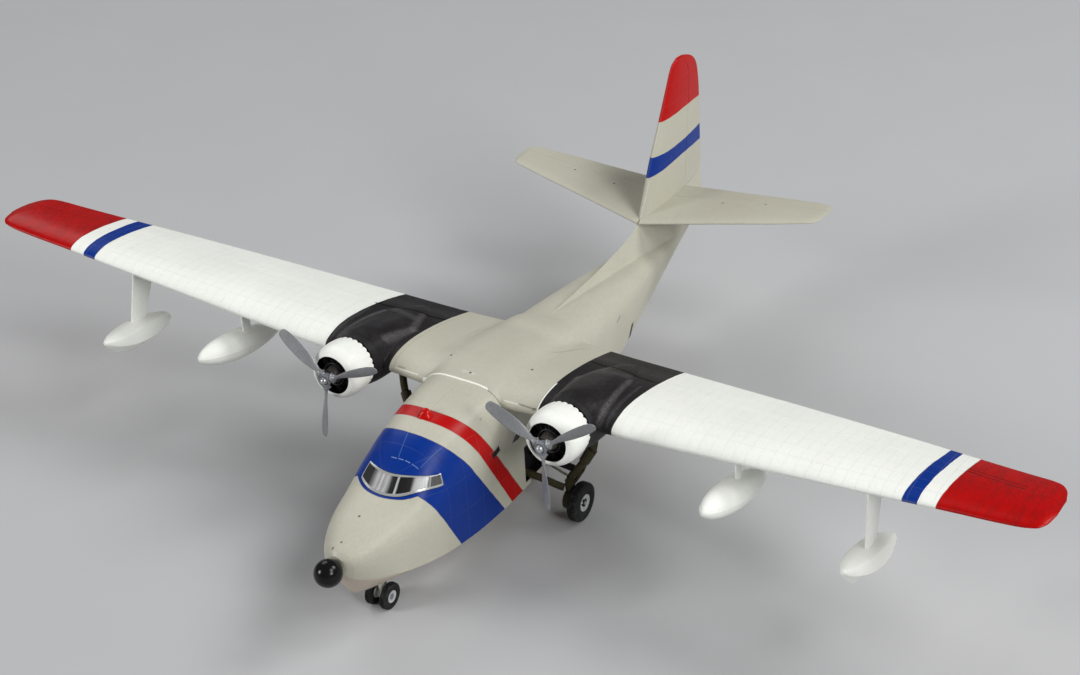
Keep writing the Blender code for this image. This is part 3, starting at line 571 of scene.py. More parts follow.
GREY, WHITE = (0.475, 0.462, 0.378), (0.84, 0.85, 0.80)
RED, BLUE, CHARCOAL = (0.42, 0.0022, 0.0020), (0.0012, 0.028, 0.225), (0.015, 0.0135, 0.0145)
DARK_LINE = (0.012, 0.011, 0.011)
PAINT = {
    "white": coat("white_coat", WHITE, 0.38, (0.35, 1.6, 0.35), 0.04),
    "charcoal": coat("charcoal_coat", CHARCOAL, 0.50, (2.0, 0.4, 1.0), 0.3, 0.4, (0.07, 0.066, 0.07)),
    "gloss_black": coat("gloss_black_coat", (0.006, 0.006, 0.006), 0.16, drift=0.2, relief=0.004),
    "red": coat("beacon_red_coat", (0.48, 0.004, 0.003), 0.16, drift=0.1, relief=0.02),
    "engine": coat("engine_coat", (0.016, 0.015, 0.015), 0.42, drift=0.3, rub=0.35, metal=0.1),
    "crankcase": coat("crankcase_coat", (0.050, 0.044, 0.040), 0.40, drift=0.25, rub=0.3,
                      rub_colour=(0.13, 0.12, 0.11)),
    "propeller": coat("propeller_coat", (0.25, 0.255, 0.265), 0.34, (1, 1, 0.4), 0.1, 0.25,
                      (0.45, 0.45, 0.45), 0.3),
    "hub_blue": coat("hub_blue_coat", (0.16, 0.175, 0.20), 0.36, drift=0.2, rub=0.3,
                     rub_colour=(0.4, 0.4, 0.42)),
    "olive": coat("olive_coat", (0.036, 0.031, 0.014), 0.5, drift=0.35, rub=0.5,
                  rub_colour=(0.11, 0.10, 0.055)),
    "gear_black": coat("gear_black_coat", (0.006, 0.006, 0.007), 0.5, drift=0.3, rub=0.2,
                       rub_colour=(0.1, 0.1, 0.1)),
    "pale": coat("pale_coat", (0.40, 0.41, 0.36), 0.42, drift=0.12),
    "tyre": coat("tyre_coat", (0.010, 0.010, 0.011), 0.55, drift=0.3, rub=0.15, relief=0.05),
    "hub": coat("hub_coat", (0.52, 0.53, 0.53), 0.4, drift=0.12, rub=0.3, rub_colour=(0.2, 0.2, 0.2)),
    "silver": coat("silver_coat", (0.42, 0.42, 0.43), 0.27, drift=0.1, metal=0.6, relief=0.01),
}
print("coats:", sorted(PAINT))

# %% [markdown]
# ## Hull
#
# The hull of the real kit is two glued halves. Its sections have a sharp keel and chine below, nearly
# upright sides and a rounded roof, and a thin ridge rises out of the roof behind the wing and becomes
# the foot of the fin. I considered a union of separate solids, but the ridge melts into the roof, so the
# roof is one height over each point and the ridge is blended in with a fillet.

# %% Sections of the hull
# Station, keel height, chine half-width, chine height, side half-width, height of the widest point,
# roof height, squareness of the upper part
HULL_SECTIONS = (
    (8.0, 27.3, 2.7, 28.9, 3.3, 31.6, 35.2, 2.0),
    (9.5, 23.6, 4.6, 26.9, 5.6, 31.4, 36.8, 2.1),
    (13.0, 17.4, 7.4, 24.9, 8.5, 31.4, 38.2, 2.3),
    (18.0, 13.4, 10.3, 23.4, 11.1, 31.8, 39.7, 2.5),
    (25.0, 11.2, 13.1, 21.6, 13.6, 32.4, 41.2, 2.6),
    (34.0, 9.4, 15.3, 19.3, 15.6, 33.0, 43.0, 2.6),
    (40.0, 8.3, 16.1, 17.8, 16.3, 33.6, 48.2, 2.3),
    (46.0, 7.4, 16.6, 16.4, 16.8, 34.0, 52.0, 2.3),
    (53.0, 6.6, 16.9, 15.0, 17.0, 34.0, 54.8, 2.5),
    (62.0, 5.9, 17.0, 13.4, 17.0, 34.0, 56.4, 3.0),
    (72.0, 5.5, 17.0, 12.2, 17.0, 34.0, 57.0, 3.6),
    (84.0, 5.2, 17.0, 11.4, 17.0, 34.0, 57.2, 4.0),
    (104.0, 5.2, 17.0, 11.4, 17.0, 34.0, 56.6, 4.0),
    (118.0, 5.3, 16.8, 11.8, 16.9, 34.0, 55.0, 3.6),
    (127.7, 5.5, 16.4, 12.3, 16.7, 34.2, 53.4, 3.2),
    (128.0, 7.6, 16.2, 13.4, 16.7, 34.2, 53.4, 3.2),
    (142.0, 9.6, 15.0, 15.6, 15.8, 34.8, 51.2, 3.1),
    (158.0, 12.2, 13.4, 18.3, 14.6, 35.6, 49.4, 3.0),
    (174.0, 15.2, 11.7, 21.4, 13.0, 36.2, 47.6, 2.9),
    (190.0, 18.6, 9.8, 25.0, 11.0, 37.0, 45.8, 2.8),
    (206.0, 23.6, 7.8, 28.6, 8.9, 37.6, 44.2, 2.6),
    (222.0, 28.2, 5.7, 32.0, 6.5, 38.2, 43.0, 2.4),
    (238.0, 32.6, 3.5, 35.0, 4.0, 38.6, 42.2, 2.0),
    (252.0, 36.4, 1.7, 37.6, 2.1, 39.2, 41.8, 2.0),
    (259.0, 38.6, 0.9, 39.2, 1.1, 40.0, 41.4, 2.0),
)
keel, chine_x, chine_z, side_x, side_z, roof, square = (faired(HULL_SECTIONS, c) for c in range(1, 8))

# Ridge behind the wing: station, height, half-width of its flat top, fall over each mm sideways
RIDGE = (
    (136.0, 50.0, 0.0, 5.0),
    (142.0, 51.2, 0.0, 4.8),
    (156.0, 51.0, 0.0, 3.2),
    (172.0, 51.0, 0.0, 2.75),
    (188.0, 51.9, 0.0, 2.9),
    (199.0, 53.0, 0.0, 3.2),
    (206.0, 54.6, 0.1, 3.6),
    (209.8, 55.7, 0.5, 4.2),
    (216.0, 55.8, 1.9, 6.0),
    (228.0, 55.8, 2.7, 8.0),
    (245.0, 55.8, 2.0, 9.0),
    (261.2, 55.8, 0.3, 12.0),
)
ridge_top, ridge_flat, ridge_fall = (faired(RIDGE, c) for c in range(1, 4))
RIDGE_FILLET = 0.9
HULL_STATIONS = np.unique(np.concatenate([
    np.linspace(8, 14, 14), np.linspace(14, 60, 64), np.linspace(60, 127.7, 60), [128.0],
    np.linspace(129, 200, 66), np.linspace(200, 222, 34), np.linspace(222, 261.2, 40),
]))


def cabin_roof(x, station):
    """Height of the fuselage's roof over a point, for arrays."""
    share = np.clip(np.abs(x) / side_x(station), 0, 1) ** square(station)
    return side_z(station) + (roof(station) - side_z(station)) * (1 - share) ** (1 / square(station))


# %% The hull's skin
def hull_half(station):
    """One half of a section from keel to roof, as x, z and the distance above the chine."""
    s = station
    t = np.linspace(0, 1, 9)[:-1]
    bottom_x = chine_x(s) * t
    bottom_z = keel(s) + (chine_z(s) - keel(s)) * (t - 0.28 * t * (1 - t))
    v = np.linspace(0, 1, 13)[:-1]
    flank_x = chine_x(s) + (side_x(s) - chine_x(s)) * np.sin(pi / 2 * v)
    flank_z = chine_z(s) + (side_z(s) - chine_z(s)) * v
    turn = np.linspace(0, radians(64), 26)
    wide = np.cos(turn) ** (2 / square(s))
    inner = wide[-1] * (1 - np.linspace(0, 1, 31)[1:] ** 0.62)
    wide = np.concatenate([wide, inner])
    roof_x = side_x(s) * wide
    roof_z = cabin_roof(roof_x, s)
    if s > RIDGE[0][0]:
        ridge = ridge_top(s) - ridge_fall(s) * np.maximum(0, np.abs(roof_x) - ridge_flat(s))
        fillet = RIDGE_FILLET * min(1, (s - RIDGE[0][0]) / 30)
        roof_z = smooth_max(roof_z, ridge, fillet)
    x = np.concatenate([bottom_x, flank_x, roof_x])
    z = np.concatenate([bottom_z, flank_z, roof_z])
    girth = np.concatenate([[0], np.cumsum(np.hypot(np.diff(x), np.diff(z)))])
    return x, z, girth - girth[len(t)]


rows, uvs = [], []
for s in HULL_STATIONS:
    x, z, girth = hull_half(s)
    rows.append(both_halves(points_of(x, station_y(s), z)))
    uvs.append(points_of(s, np.concatenate([girth, girth[-2:0:-1]])))
hull_shape = grid(rows, uv=uvs)
print("hull faces:", len(hull_shape[1]))

# %% [markdown]
# ### Hull paint
#
# The fuselage is warm grey. Blue, grey and red bands cross it behind the nose, leaning aft as they go
# down to the chine, and the blue also runs in front of the windshield. Each edge of a band is a plane,
# so one number, the station moved by the height, tells which side of the edge a point is on.

# %% Bands round the nose
# Station of each band's edge at the height of the roof, and how far it runs aft over each mm down
ROOF_HEIGHT = 57.0
# The blue stays behind a curve just ahead of the windshield's foot: its half-width, the station where it
# meets the sides, and the height below which it ends
FOOT_REACH, FOOT_STATION, FOOT_HEIGHT = 15.6, 48.0, 38.5
BANDS = (
    (30.6, 0.524, BLUE),
    (51.5, 0.612, GREY),
    (59.0, 0.555, RED),
    (64.4, 0.590, GREY),
)
hull_paint, n, shader, place = begin("hull_paint")
marks = use(n, BRUSH_MARKS, {"Place": place, "Stretch": (1.2, 0.3, 1.2)})
axes = n.split(place)
station = n.plus(axes["Y"], MIDDLE_STATION)
sideways = n.math("POWER", n.absolute(n.math("DIVIDE", axes["X"], FOOT_REACH)), 2.0)
across = n.math("SQRT", n.math("MAXIMUM", n.minus(1.0, sideways), 0.0))
behind_foot = n.minus(n.plus(station, n.times(across, FOOT_REACH)), FOOT_STATION)
behind_foot = n.math("MINIMUM", behind_foot, n.minus(axes["Z"], FOOT_HEIGHT))
down = n.minus(ROOF_HEIGHT, axes["Z"])
shade = GREY
rims = 0.0
for edge, lean, colour in BANDS:
    value = n.minus(n.minus(station, n.times(down, lean)), edge)
    if colour == BLUE:
        value = n.math("MAXIMUM", value, behind_foot)
    band = use(n, BAND_EDGE, {"Value": value, "Edge": 0.0, "Place": place, "Waver": 0.5})
    shade = n.mix(band["Beyond"], shade, colour)
    rims = n.math("MAXIMUM", rims, band["Rim"])
shade = n.mix(n.times(rims, 0.35), shade, (0.10, 0.06, 0.06))

# %% Marks on the roof, the nose and the sides
# Both ends as half-width and station, seen from above, then width, strength and colour
ROOF_MARKS = (
    ((-0.9, 52.8), (0.9, 44.0), 0.30, 0.45, (0.10, 0.20, 0.45)),
    ((-1.5, 43.5), (0.4, 43.6), 0.26, 0.55, (0.30, 0.42, 0.62)),
    ((1.2, 43.7), (2.9, 43.8), 0.26, 0.55, (0.30, 0.42, 0.62)),
    ((3.7, 43.9), (5.4, 43.9), 0.26, 0.55, (0.30, 0.42, 0.62)),
    ((6.2, 43.9), (8.6, 43.8), 0.26, 0.45, (0.25, 0.37, 0.58)),
    ((10.2, 50.6), (13.4, 50.8), 0.30, 0.6, (0.002, 0.006, 0.03)),
    ((9.1, 44.6), (11.3, 54.2), 0.28, 0.4, (0.08, 0.17, 0.40)),
    ((-0.8, 22.9), (-0.7, 22.9), 0.8, 0.8, DARK_LINE),
    ((15.2, 28.7), (15.3, 28.7), 0.8, 0.8, DARK_LINE),
    ((-0.4, 12.2), (-0.3, 12.2), 0.7, 0.7, DARK_LINE),
    ((-2.1, 9.7), (-2.0, 9.7), 0.7, 0.7, DARK_LINE),
    ((0.0, 66.0), (0.0, 81.0), 0.3, 0.25, (0.30, 0.29, 0.25)),
)
shade = with_marks(n, n.flat(axes["X"], station), shade, ROOF_MARKS, n.step(axes["Z"], 31.0, 32.0))
# Window marks on the sides, then painted shade aft of the wheel well: station, height, half-width, half-height,
# lean, rise and colour
WINDOWS_AND_WELL_SHADE = (
    (76.5, 37.4, 2.3, 1.25, -0.25, 0.20, (0.010, 0.010, 0.012)),
    (90.3, 35.8, 2.6, 1.7, 1.20, -0.16, (0.040, 0.036, 0.036)),
    (181.5, 25.2, 1.2, 3.2, 0.3, 0.0, (0.012, 0.012, 0.014)),
    # Painted shade on the flank aft of the wheel well, under the wing
    (114.0, 20.9, 4.6, 7.6, 0.0, 0.0, (0.012, 0.011, 0.011)),
)
from_side = n.flat(station, axes["Z"])
on_side = n.step(n.absolute(axes["X"]), 8.0, 9.0)
for s, z, half_width, half_height, lean, rise, colour in WINDOWS_AND_WELL_SHADE:
    sockets = {"Place": from_side, "Centre": (s, z, 0.0), "Half Width": half_width, "Half Height": half_height,
               "Lean": lean, "Rise": rise}
    shade = n.mix(n.times(use(n, SLANTED_PATCH, sockets)["Patch"], on_side), shade, colour)
SIDE_MARKS = (
    ((72.6, 52.6), (72.7, 52.6), 1.0, 0.5, (0.25, 0.24, 0.21)),
    ((166.6, 38.2), (169.4, 39.2), 0.5, 0.7, DARK_LINE),
    ((79.2, 39.8), (72.8, 38.7), 0.3, 0.4, (0.25, 0.24, 0.20)),
)
shade = with_marks(n, from_side, shade, SIDE_MARKS, on_side)

# %% Bottom, brush marks and panel lines
surface = n.surface()
# Below the chine the grey turns warm tan: painted shade and warm light bounced onto the bottom
above_chine = n.step(n.split(surface)["Y"], -0.1, 0.1)
shade = n.mix(above_chine, (0.50, 0.42, 0.345), shade)
shade = brightened(n, shade, n.step(marks["Tone"], 0.3, 0.7, 0.94, 1.05))
lines = {"Place": surface, "Spacing Along": 9.6, "Spacing Across": 12.5, "Line Width": 0.16}
line = use(n, PANEL_LINES, lines)["Line"]
shade = n.mix(n.times(line, 0.03), shade, (0.75, 0.75, 0.7))
height = n.plus(n.times(marks["Height"], 0.35), line)
cover(n, shader, shade, n.step(marks["Tone"], 0.3, 0.7, 0.30, 0.42), height, 0.035)
hull = piece("hull_skin", hull_shape, hull_paint, stands_for="hull")

# %% Wheel wells cut into the sides
WELL_STATIONS, WELL_HEIGHTS, WELL_X = (93.6, 112.0), (13.4, 28.4), (13.6, 20.6)
for side, sign in SIDES:
    low, high = ((x * sign, station_y(s), z) for x, s, z in zip(WELL_X, WELL_STATIONS, WELL_HEIGHTS))
    well_name = "well_shape_" + side
    cutter = put(well_name, mesh_of(well_name, block(low, high), PAINT["gear_black"]))
    cut = hull.modifiers.new("well_" + side, "BOOLEAN")
    cut.object = cutter
    cut.operation = "DIFFERENCE"
    cut.solver = "EXACT"
    cut.material_mode = "TRANSFER"
    bpy.context.view_layer.update()
    solid = bpy.data.meshes.new_from_object(hull.evaluated_get(bpy.context.evaluated_depsgraph_get()))
    hull.modifiers.clear()
    hull.data = solid
    bpy.data.objects.remove(cutter)
print("hull with wells:", len(hull.data.polygons), "faces", [m.name for m in hull.data.materials])

# %% [markdown]
# ## Wing
#
# The centre of the wing lies over the cabin roof like a saddle, and two outer panels join it. The nacelle
# behind each engine swells out of the panel's upper surface, so it is blended into the panel's height
# as the ridge was into the roof. The hinge line of flap and aileron is a real groove, because it shows
# as the one dark line on the wing, and the raised lines of the moulding stay in the bump.

# %% Sections of the wing
# Half-span, leading station and height, trailing station and height, thickness over chord
WING_STATIONS = (
    (0.0, 83.3, 52.0, 138.0, 46.4, 0.175),
    (16.0, 83.5, 52.0, 136.8, 46.8, 0.175),
    (29.0, 84.0, 52.4, 135.1, 47.5, 0.178),
    (58.0, 82.8, 54.9, 131.0, 50.3, 0.185),
    (105.0, 81.0, 59.7, 123.6, 55.6, 0.165),
    (151.4, 79.4, 64.7, 115.7, 60.9, 0.140),
    (172.0, 78.2, 67.4, 110.4, 64.3, 0.130),
    (190.0, 76.9, 69.8, 105.8, 67.4, 0.122),
    (196.0, 76.6, 70.7, 104.0, 68.7, 0.115),
    (200.0, 77.0, 71.4, 102.0, 69.7, 0.105),
    (202.6, 79.2, 71.8, 98.6, 70.4, 0.085),
    (204.0, 84.5, 72.0, 93.3, 71.2, 0.060),
)
lead_s, lead_z, trail_s, trail_z, wing_ratio = (faired(WING_STATIONS, c) for c in range(1, 6))
# The two tips were cut and glued unevenly: each is longer or shorter by this share of what lies past 170 mm
TIP_STRETCH, TIP_STRETCH_FROM = {"port": -0.04, "starboard": 0.067}, 170.0
CAMBER, CAMBER_PLACE = 0.018, 0.3
TRAILING_THICKNESS, SKIN_OVER_ROOF = 0.5, 0.4
# Share of the chord where the hinge line runs, over the half-span
INNER_HINGE = ((29, 0.705), (44, 0.672), (58, 0.645), (117.7, 0.645), (117.9, 0.70))
HINGE_PLACES = {
    "port": (*INNER_HINGE, (150, 0.70), (171, 0.61), (204, 0.58)),
    "starboard": (*INNER_HINGE, (155, 0.70), (176, 0.68), (204, 0.66)),
}
HINGE_WIDTH = 0.28
CHARCOAL_ENDS, WHITE_ENDS = 58.4, 168.0


def leaf(f, ratio):
    """Half-thickness of a wing section at a share of its chord, for a chord of one."""
    return 5 * ratio * (0.2969 * np.sqrt(f) - 0.1260 * f - 0.3516 * f**2 + 0.2843 * f**3 - 0.1036 * f**4)


def bow_of(share):
    """Rise of the section's middle line for a chord of one."""
    fall = 2 * CAMBER_PLACE * share - share**2
    front = CAMBER / CAMBER_PLACE**2 * fall
    back = CAMBER / (1 - CAMBER_PLACE) ** 2 * (1 - 2 * CAMBER_PLACE + fall)
    return np.where(share < CAMBER_PLACE, front, back)


def chord_shares(hinge, half_width):
    """Points along the chord, close together at the nose and at both lips of the hinge groove."""
    nose = 1 - np.cos(np.linspace(0, 1.35, 32))
    before = nose / nose[-1] * (hinge - 1.6 * half_width)
    lips = hinge + half_width * np.array([-1.0, -0.6, 0.6, 1.0])
    return np.concatenate([before, lips, np.linspace(hinge + 1.6 * half_width, 1, 12)])


# %% Nacelle's own form, shared by the wing and the nacelle piece
ENGINE_X, THRUST_STATION, THRUST_HEIGHT, THRUST_TILT = 43.0, 64.9, 55.7, radians(-5.5)
# Distance along the thrust line, half-width, height above and depth below the line
NACELLE_SECTIONS = (
    (15.2, 9.2, 9.2, 9.6),
    (23.0, 10.0, 9.2, 10.9),
    (31.0, 10.1, 8.2, 11.2),
    (39.0, 9.4, 6.5, 10.2),
    (47.0, 7.6, 4.5, 8.2),
    (54.0, 4.9, 2.4, 5.8),
    (60.0, 1.8, 1.0, 3.8),
)
nacelle_wide, nacelle_above, nacelle_below = (faired(NACELLE_SECTIONS, c) for c in range(1, 4))
NACELLE_SQUARE = 2.15
NACELLE_FILLET = 2.2


def nacelle_top(x, station):
    """Height of the nacelle's upper surface, far below the wing where there is no nacelle."""
    along = (station - THRUST_STATION) / cos(THRUST_TILT)
    line = THRUST_HEIGHT + along * sin(THRUST_TILT)
    share = np.clip(np.abs(np.abs(x) - ENGINE_X) / nacelle_wide(along), 0, 1)
    rise = nacelle_above(along) * (1 - share**NACELLE_SQUARE) ** (1 / NACELLE_SQUARE)
    return np.where(along > NACELLE_SECTIONS[-1][0], -50.0, line + rise - 14 * (share >= 1))


# %% Skin of the wing
def wing_section(x, side=None, tip_round=1.0):
    """One section as points and paint map. With no side it is the bare centre, which lies over the roof."""
    lead, front, trail, back, ratio = (read(abs(x)) for read in (lead_s, lead_z, trail_s, trail_z, wing_ratio))
    chord = trail - lead
    hinge = np.interp(abs(x), *zip(*HINGE_PLACES[side or "port"]))
    shares = chord_shares(hinge, HINGE_WIDTH / 2 / chord)
    station = lead + chord * shares
    line = front + (back - front) * shares
    half = (chord * leaf(shares, ratio) + TRAILING_THICKNESS / 2 * shares) * tip_round
    middle = line + chord * bow_of(shares)
    top, bottom = middle + half, middle - half
    if side is None:
        over = cabin_roof(x, station) + SKIN_OVER_ROOF
        soft = 0.9 + 1.4 * np.clip(shares * 4, 0, 1)
        top = np.where(abs(x) < side_x(station), smooth_max(top, over, soft), top)
    else:
        depth = 0.2 if abs(x) < CHARCOAL_ENDS else 0.05 if abs(x) < WHITE_ENDS else 0.12
        groove = depth * (np.abs(shares - hinge) * chord < HINGE_WIDTH * 0.4)
        ramp_in = np.clip((station - lead) / 4, 0.05, 1) * NACELLE_FILLET
        top = smooth_max(top, nacelle_top(x, station), ramp_in) - groove * tip_round
        bottom = bottom + groove * tip_round
        x = x + np.sign(x) * max(0.0, abs(x) - TIP_STRETCH_FROM) * TIP_STRETCH[side]
    upper, lower = (points_of(x, station_y(station), height) for height in (top, bottom))
    uv = points_of(abs(x), shares * 50)
    return round_leaf(upper, lower), round_leaf(uv, uv)


def wing_skin(places, side=None):
    rows, uvs = [], []
    for x in places:
        past = max(0.0, (abs(x) - ROUND_FROM) / ROUND_OVER)
        points, uv = wing_section(x, side, sqrt(max(0.02, 1 - past**2)))
        rows.append(points)
        uvs.append(uv)
    return grid(rows, uv=uvs)


ROOT_X, TIP_X = 29.0, 204.0
ROUND_FROM, ROUND_OVER = 199.6, 4.45  # where the tip starts to thin out, and over how long
PANEL_PLACES = np.unique(np.concatenate([
    np.linspace(ROOT_X + 0.04, 60, 60), np.linspace(60, 117.6, 42), [117.7, 117.9],
    np.linspace(118.5, 196, 62), np.linspace(196, 201.6, 14),
    TIP_X - 2.4 * (1 - np.sin(np.linspace(0, pi / 2, 10))),
]))
CENTRE_PLACES = np.linspace(-ROOT_X + 0.04, ROOT_X - 0.04, 117)

# %% [markdown]
# ### Wing paint
#
# Going out along the wing there is a charcoal patch round the nacelle, long white, then blue, white and
# red bands. The edges run nearly along the chord, drifting outwards a little towards the trailing edge.
# The two sides were masked by hand and differ by a millimetre or two, so each side has its own numbers.
# On the charcoal the brush and the fingers left pale scuffs along the edges of the nacelle's hump, which
# also carry painted highlight where those edges catch light, and paint collected in the hinge line as one
# crisp black line.

# %% Bands across the wing
LEADING_STATION = 78.4
# Half-span of each edge at the leading edge, and how far it runs outwards over each mm aft
WING_EDGES = {
    "port": ((58.2, 0.040, WHITE), (158.4, 0.085, BLUE), (163.3, 0.065, WHITE), (169.1, 0.080, RED)),
    "starboard": ((57.0, -0.010, WHITE), (160.0, 0.050, BLUE), (165.0, 0.085, WHITE), (171.0, 0.040, RED)),
}
# Scuffs and painted highlights on the charcoal, as half-span and station of both ends, width, strength and colour
SCUFFS_AND_HIGHLIGHTS = (
    ((35.6, 90.0), (33.8, 104.0), 3.4, 0.8, (0.16, 0.15, 0.15)),
    ((33.8, 104.0), (38.6, 117.0), 3.0, 0.7, (0.15, 0.14, 0.145)),
    ((38.6, 111.0), (48.0, 113.0), 5.0, 0.55, (0.13, 0.125, 0.13)),
    ((53.4, 84.0), (50.4, 110.0), 2.6, 0.85, (0.15, 0.14, 0.145)),
    ((56.0, 84.0), (55.6, 108.0), 1.6, 0.45, (0.12, 0.115, 0.12)),
    ((42.0, 94.0), (42.4, 108.0), 6.0, 0.30, (0.09, 0.085, 0.09)),
    ((30.0, 126.0), (57.0, 120.0), 9.0, 0.50, (0.075, 0.070, 0.072)),
)


# %% Paint of one outer panel
# Station of the hinge line at the wing's root, how far it runs forward over each mm outwards, and the
# middle and half-length of its black part
HINGE_ROOT, HINGE_LEAN, BLACK_MIDDLE, BLACK_REACH = 120.0, 0.212, 44.0, 13.0
# The same for the hinge of the port tip, which is drawn twice, and where its lines end
TIP_HINGES, TIP_HINGE_ROOT, TIP_HINGE_LEAN, TIP_HINGE_END = (99.2, 101.1), 171.0, 0.25, 190.0


def line_at(n, value, target, low, high):
    """One on a line where two numbers are equal, fading out over a short way."""
    return n.step(n.apart(value, target), low, high, 1.0, 0.0)


def wing_coat(side):
    made, n, shader, place = begin("wing_paint_" + side)
    shader.inputs["Specular IOR Level"].default_value = 0.13
    marks = use(n, BRUSH_MARKS, {"Place": place, "Stretch": (1.9, 0.35, 0.5), "Fineness": 0.9})
    axes = n.split(place)
    half_span = n.absolute(axes["X"])
    station = n.plus(axes["Y"], MIDDLE_STATION)
    # Charcoal with its scuffs and painted highlights along the nacelle's hump
    rub = use(n, RUBBED, {"Place": place, "Amount": 0.35, "Stretch": (1.6, 0.5, 0.6)})["Rub"]
    shade = n.mix(rub, CHARCOAL, (0.08, 0.075, 0.078))
    bristle = n.noise(n.scaled(place, (5.0, 2.2, 3.0)), 1.0, 5.0, 0.75)
    shade = with_marks(n, n.flat(half_span, station), shade, SCUFFS_AND_HIGHLIGHTS, n.step(bristle, 0.38, 0.64))
    # Bands towards the tip
    aft = n.minus(station, LEADING_STATION)
    masks = []
    rims = 0.0
    for edge, drift, colour in WING_EDGES[side]:
        value = n.minus(half_span, n.times(aft, drift))
        band = use(n, BAND_EDGE, {"Value": value, "Edge": edge, "Place": place, "Waver": 0.5})
        masks.append(band["Beyond"])
        shade = n.mix(band["Beyond"], shade, colour)
        if colour != WHITE:
            rims = n.math("MAXIMUM", rims, band["Rim"])
    past_charcoal, *_, red = masks
    not_red = n.minus(1.0, red)
    # A sliver by the root: a thin white line near the leading edge on the port side, the fuselage's grey on the
    # other
    if side == "port":
        sliver = n.times(n.step(half_span, 29.45, 29.6, 1.0, 0.0), n.step(station, 97.0, 98.0, 1.0, 0.0))
        shade = n.mix(sliver, shade, WHITE)
    else:
        shade = n.mix(n.step(half_span, 30.5, 30.7, 1.0, 0.0), shade, GREY)
    shade = n.mix(n.times(rims, 0.25), shade, (0.05, 0.02, 0.04))
    # Brushed red, with the tip's hinge on the port side
    brushed = n.noise(n.scaled(place, (0.5, 0.12, 0.2)), 1.0, 5.0, 0.75)
    shade = n.mix(n.times(n.step(brushed, 0.42, 0.62), n.times(red, 0.45)), shade, (0.22, 0.006, 0.006))
    if side == "port":
        outwards = n.times(n.minus(half_span, TIP_HINGE_ROOT), TIP_HINGE_LEAN)
        inside_end = n.step(half_span, TIP_HINGE_END, TIP_HINGE_END + 1, 1.0, 0.0)
        for root in TIP_HINGES:
            tip_line = n.times(line_at(n, n.minus(root, outwards), station, 0.12, 0.34), inside_end)
            shade = n.mix(n.times(n.times(tip_line, red), 0.8), shade, (0.04, 0.006, 0.006))
    # Paint that collected in the hinge line
    hinge_at = n.minus(HINGE_ROOT, n.times(n.minus(half_span, ROOT_X), HINGE_LEAN))
    black_part = line_at(n, half_span, BLACK_MIDDLE, BLACK_REACH, BLACK_REACH + 0.6)
    hinge_line = n.times(line_at(n, station, hinge_at, 0.30, 0.60), black_part)
    shade = n.mix(hinge_line, shade, (0.0008, 0.0008, 0.0008))
    # Raised lines and rivets, which the glossy red covers
    lines = {"Place": n.surface(), "Spacing Along": 4.1, "Spacing Across": 7.1, "Line Width": 0.14}
    panels = use(n, PANEL_LINES, lines)
    line = n.times(panels["Line"], not_red)
    shade = brightened(n, shade, n.step(marks["Tone"], 0.3, 0.7, 0.95, 1.03))
    shade = n.mix(n.times(n.times(line, past_charcoal), 0.12), shade, (0.55, 0.55, 0.52))
    rough = n.minus(n.step(marks["Tone"], 0.3, 0.7, 0.36, 0.5), n.times(red, 0.12))
    relief = n.math("MAXIMUM", line, n.times(panels["Dots"], not_red))
    cover(n, shader, shade, rough, n.plus(n.times(marks["Height"], 0.5), relief), 0.05)
    return made


# %% Paint of the bare centre, and both panels in place
# Glue lines, holes, rubbed places and painted highlights as half-width and station of both ends, width, strength
# and colour
CENTRE_MARKS_AND_HIGHLIGHTS = (
    ((-2.2, 88.1), (2.2, 88.2), 1.5, 0.55, (0.60, 0.58, 0.50)),
    ((0.6, 88.2), (0.7, 88.2), 0.9, 0.9, DARK_LINE),
    ((-11.8, 95.2), (-11.7, 95.2), 0.8, 0.9, DARK_LINE),
    ((16.9, 101.7), (17.0, 101.7), 0.8, 0.9, DARK_LINE),
    ((-14.2, 119.0), (-13.6, 130.0), 0.4, 0.5, (0.20, 0.19, 0.16)),
    ((15.6, 118.3), (20.7, 130.3), 0.4, 0.5, (0.20, 0.19, 0.16)),
    # Painted highlight along the wing skin's front edge over the roof
    ((-15.8, 83.5), (10.0, 83.5), 1.1, 0.95, (0.92, 0.91, 0.84)),
    # Pale line on the glue along the leading edge: painted highlight
    ((16.4, 84.3), (22.6, 84.5), 0.35, 0.5, (0.85, 0.83, 0.74)),
    ((22.0, 84.6), (28.8, 84.5), 0.4, 0.6, (0.12, 0.10, 0.07)),
    ((27.6, 84.4), (28.4, 84.6), 0.6, 0.6, (0.09, 0.075, 0.055)),
    # The same painted highlight on the starboard leading edge
    ((-28.0, 84.4), (-18.6, 84.3), 0.35, 0.5, (0.85, 0.83, 0.74)),
    ((-27.0, 84.9), (-24.4, 84.9), 0.35, 0.5, (0.14, 0.12, 0.08)),
)
centre_paint, n, shader, place = begin("wing_centre_paint")
marks = use(n, BRUSH_MARKS, {"Place": place, "Stretch": (0.5, 0.5, 0.5)})
shade = n.mix(n.step(marks["Tone"], 0.3, 0.7), tinted(GREY, 0.95), tinted(GREY, 1.04))
axes = n.split(place)
shade = with_marks(n, n.flat(axes["X"], n.plus(axes["Y"], MIDDLE_STATION)), shade, CENTRE_MARKS_AND_HIGHLIGHTS)
lines = {"Place": n.surface(), "Spacing Along": 14.4, "Spacing Across": 25.0, "Line Width": 0.12}
height = n.plus(n.times(marks["Height"], 0.4), n.times(use(n, PANEL_LINES, lines)["Line"], 0.4))
cover(n, shader, shade, n.step(marks["Tone"], 0.3, 0.7, 0.36, 0.48), height, 0.05)
piece("wing_centre_skin", wing_skin(CENTRE_PLACES), centre_paint, stands_for="wing_centre")
for side, sign in SIDES:
    made = piece("wing_skin_" + side, wing_skin(PANEL_PLACES * sign, side), wing_coat(side),
                 stands_for="wing_" + side)
    print(made.name, len(made.data.polygons), "faces")

# %% [markdown]
# ## Tail
#
# Fin and tailplanes are thin leaves. The fin carries a red tip and a blue band, whose edges rise towards
# the rear. Each leaf is a skin through sections that shrink smoothly to a rounded tip.

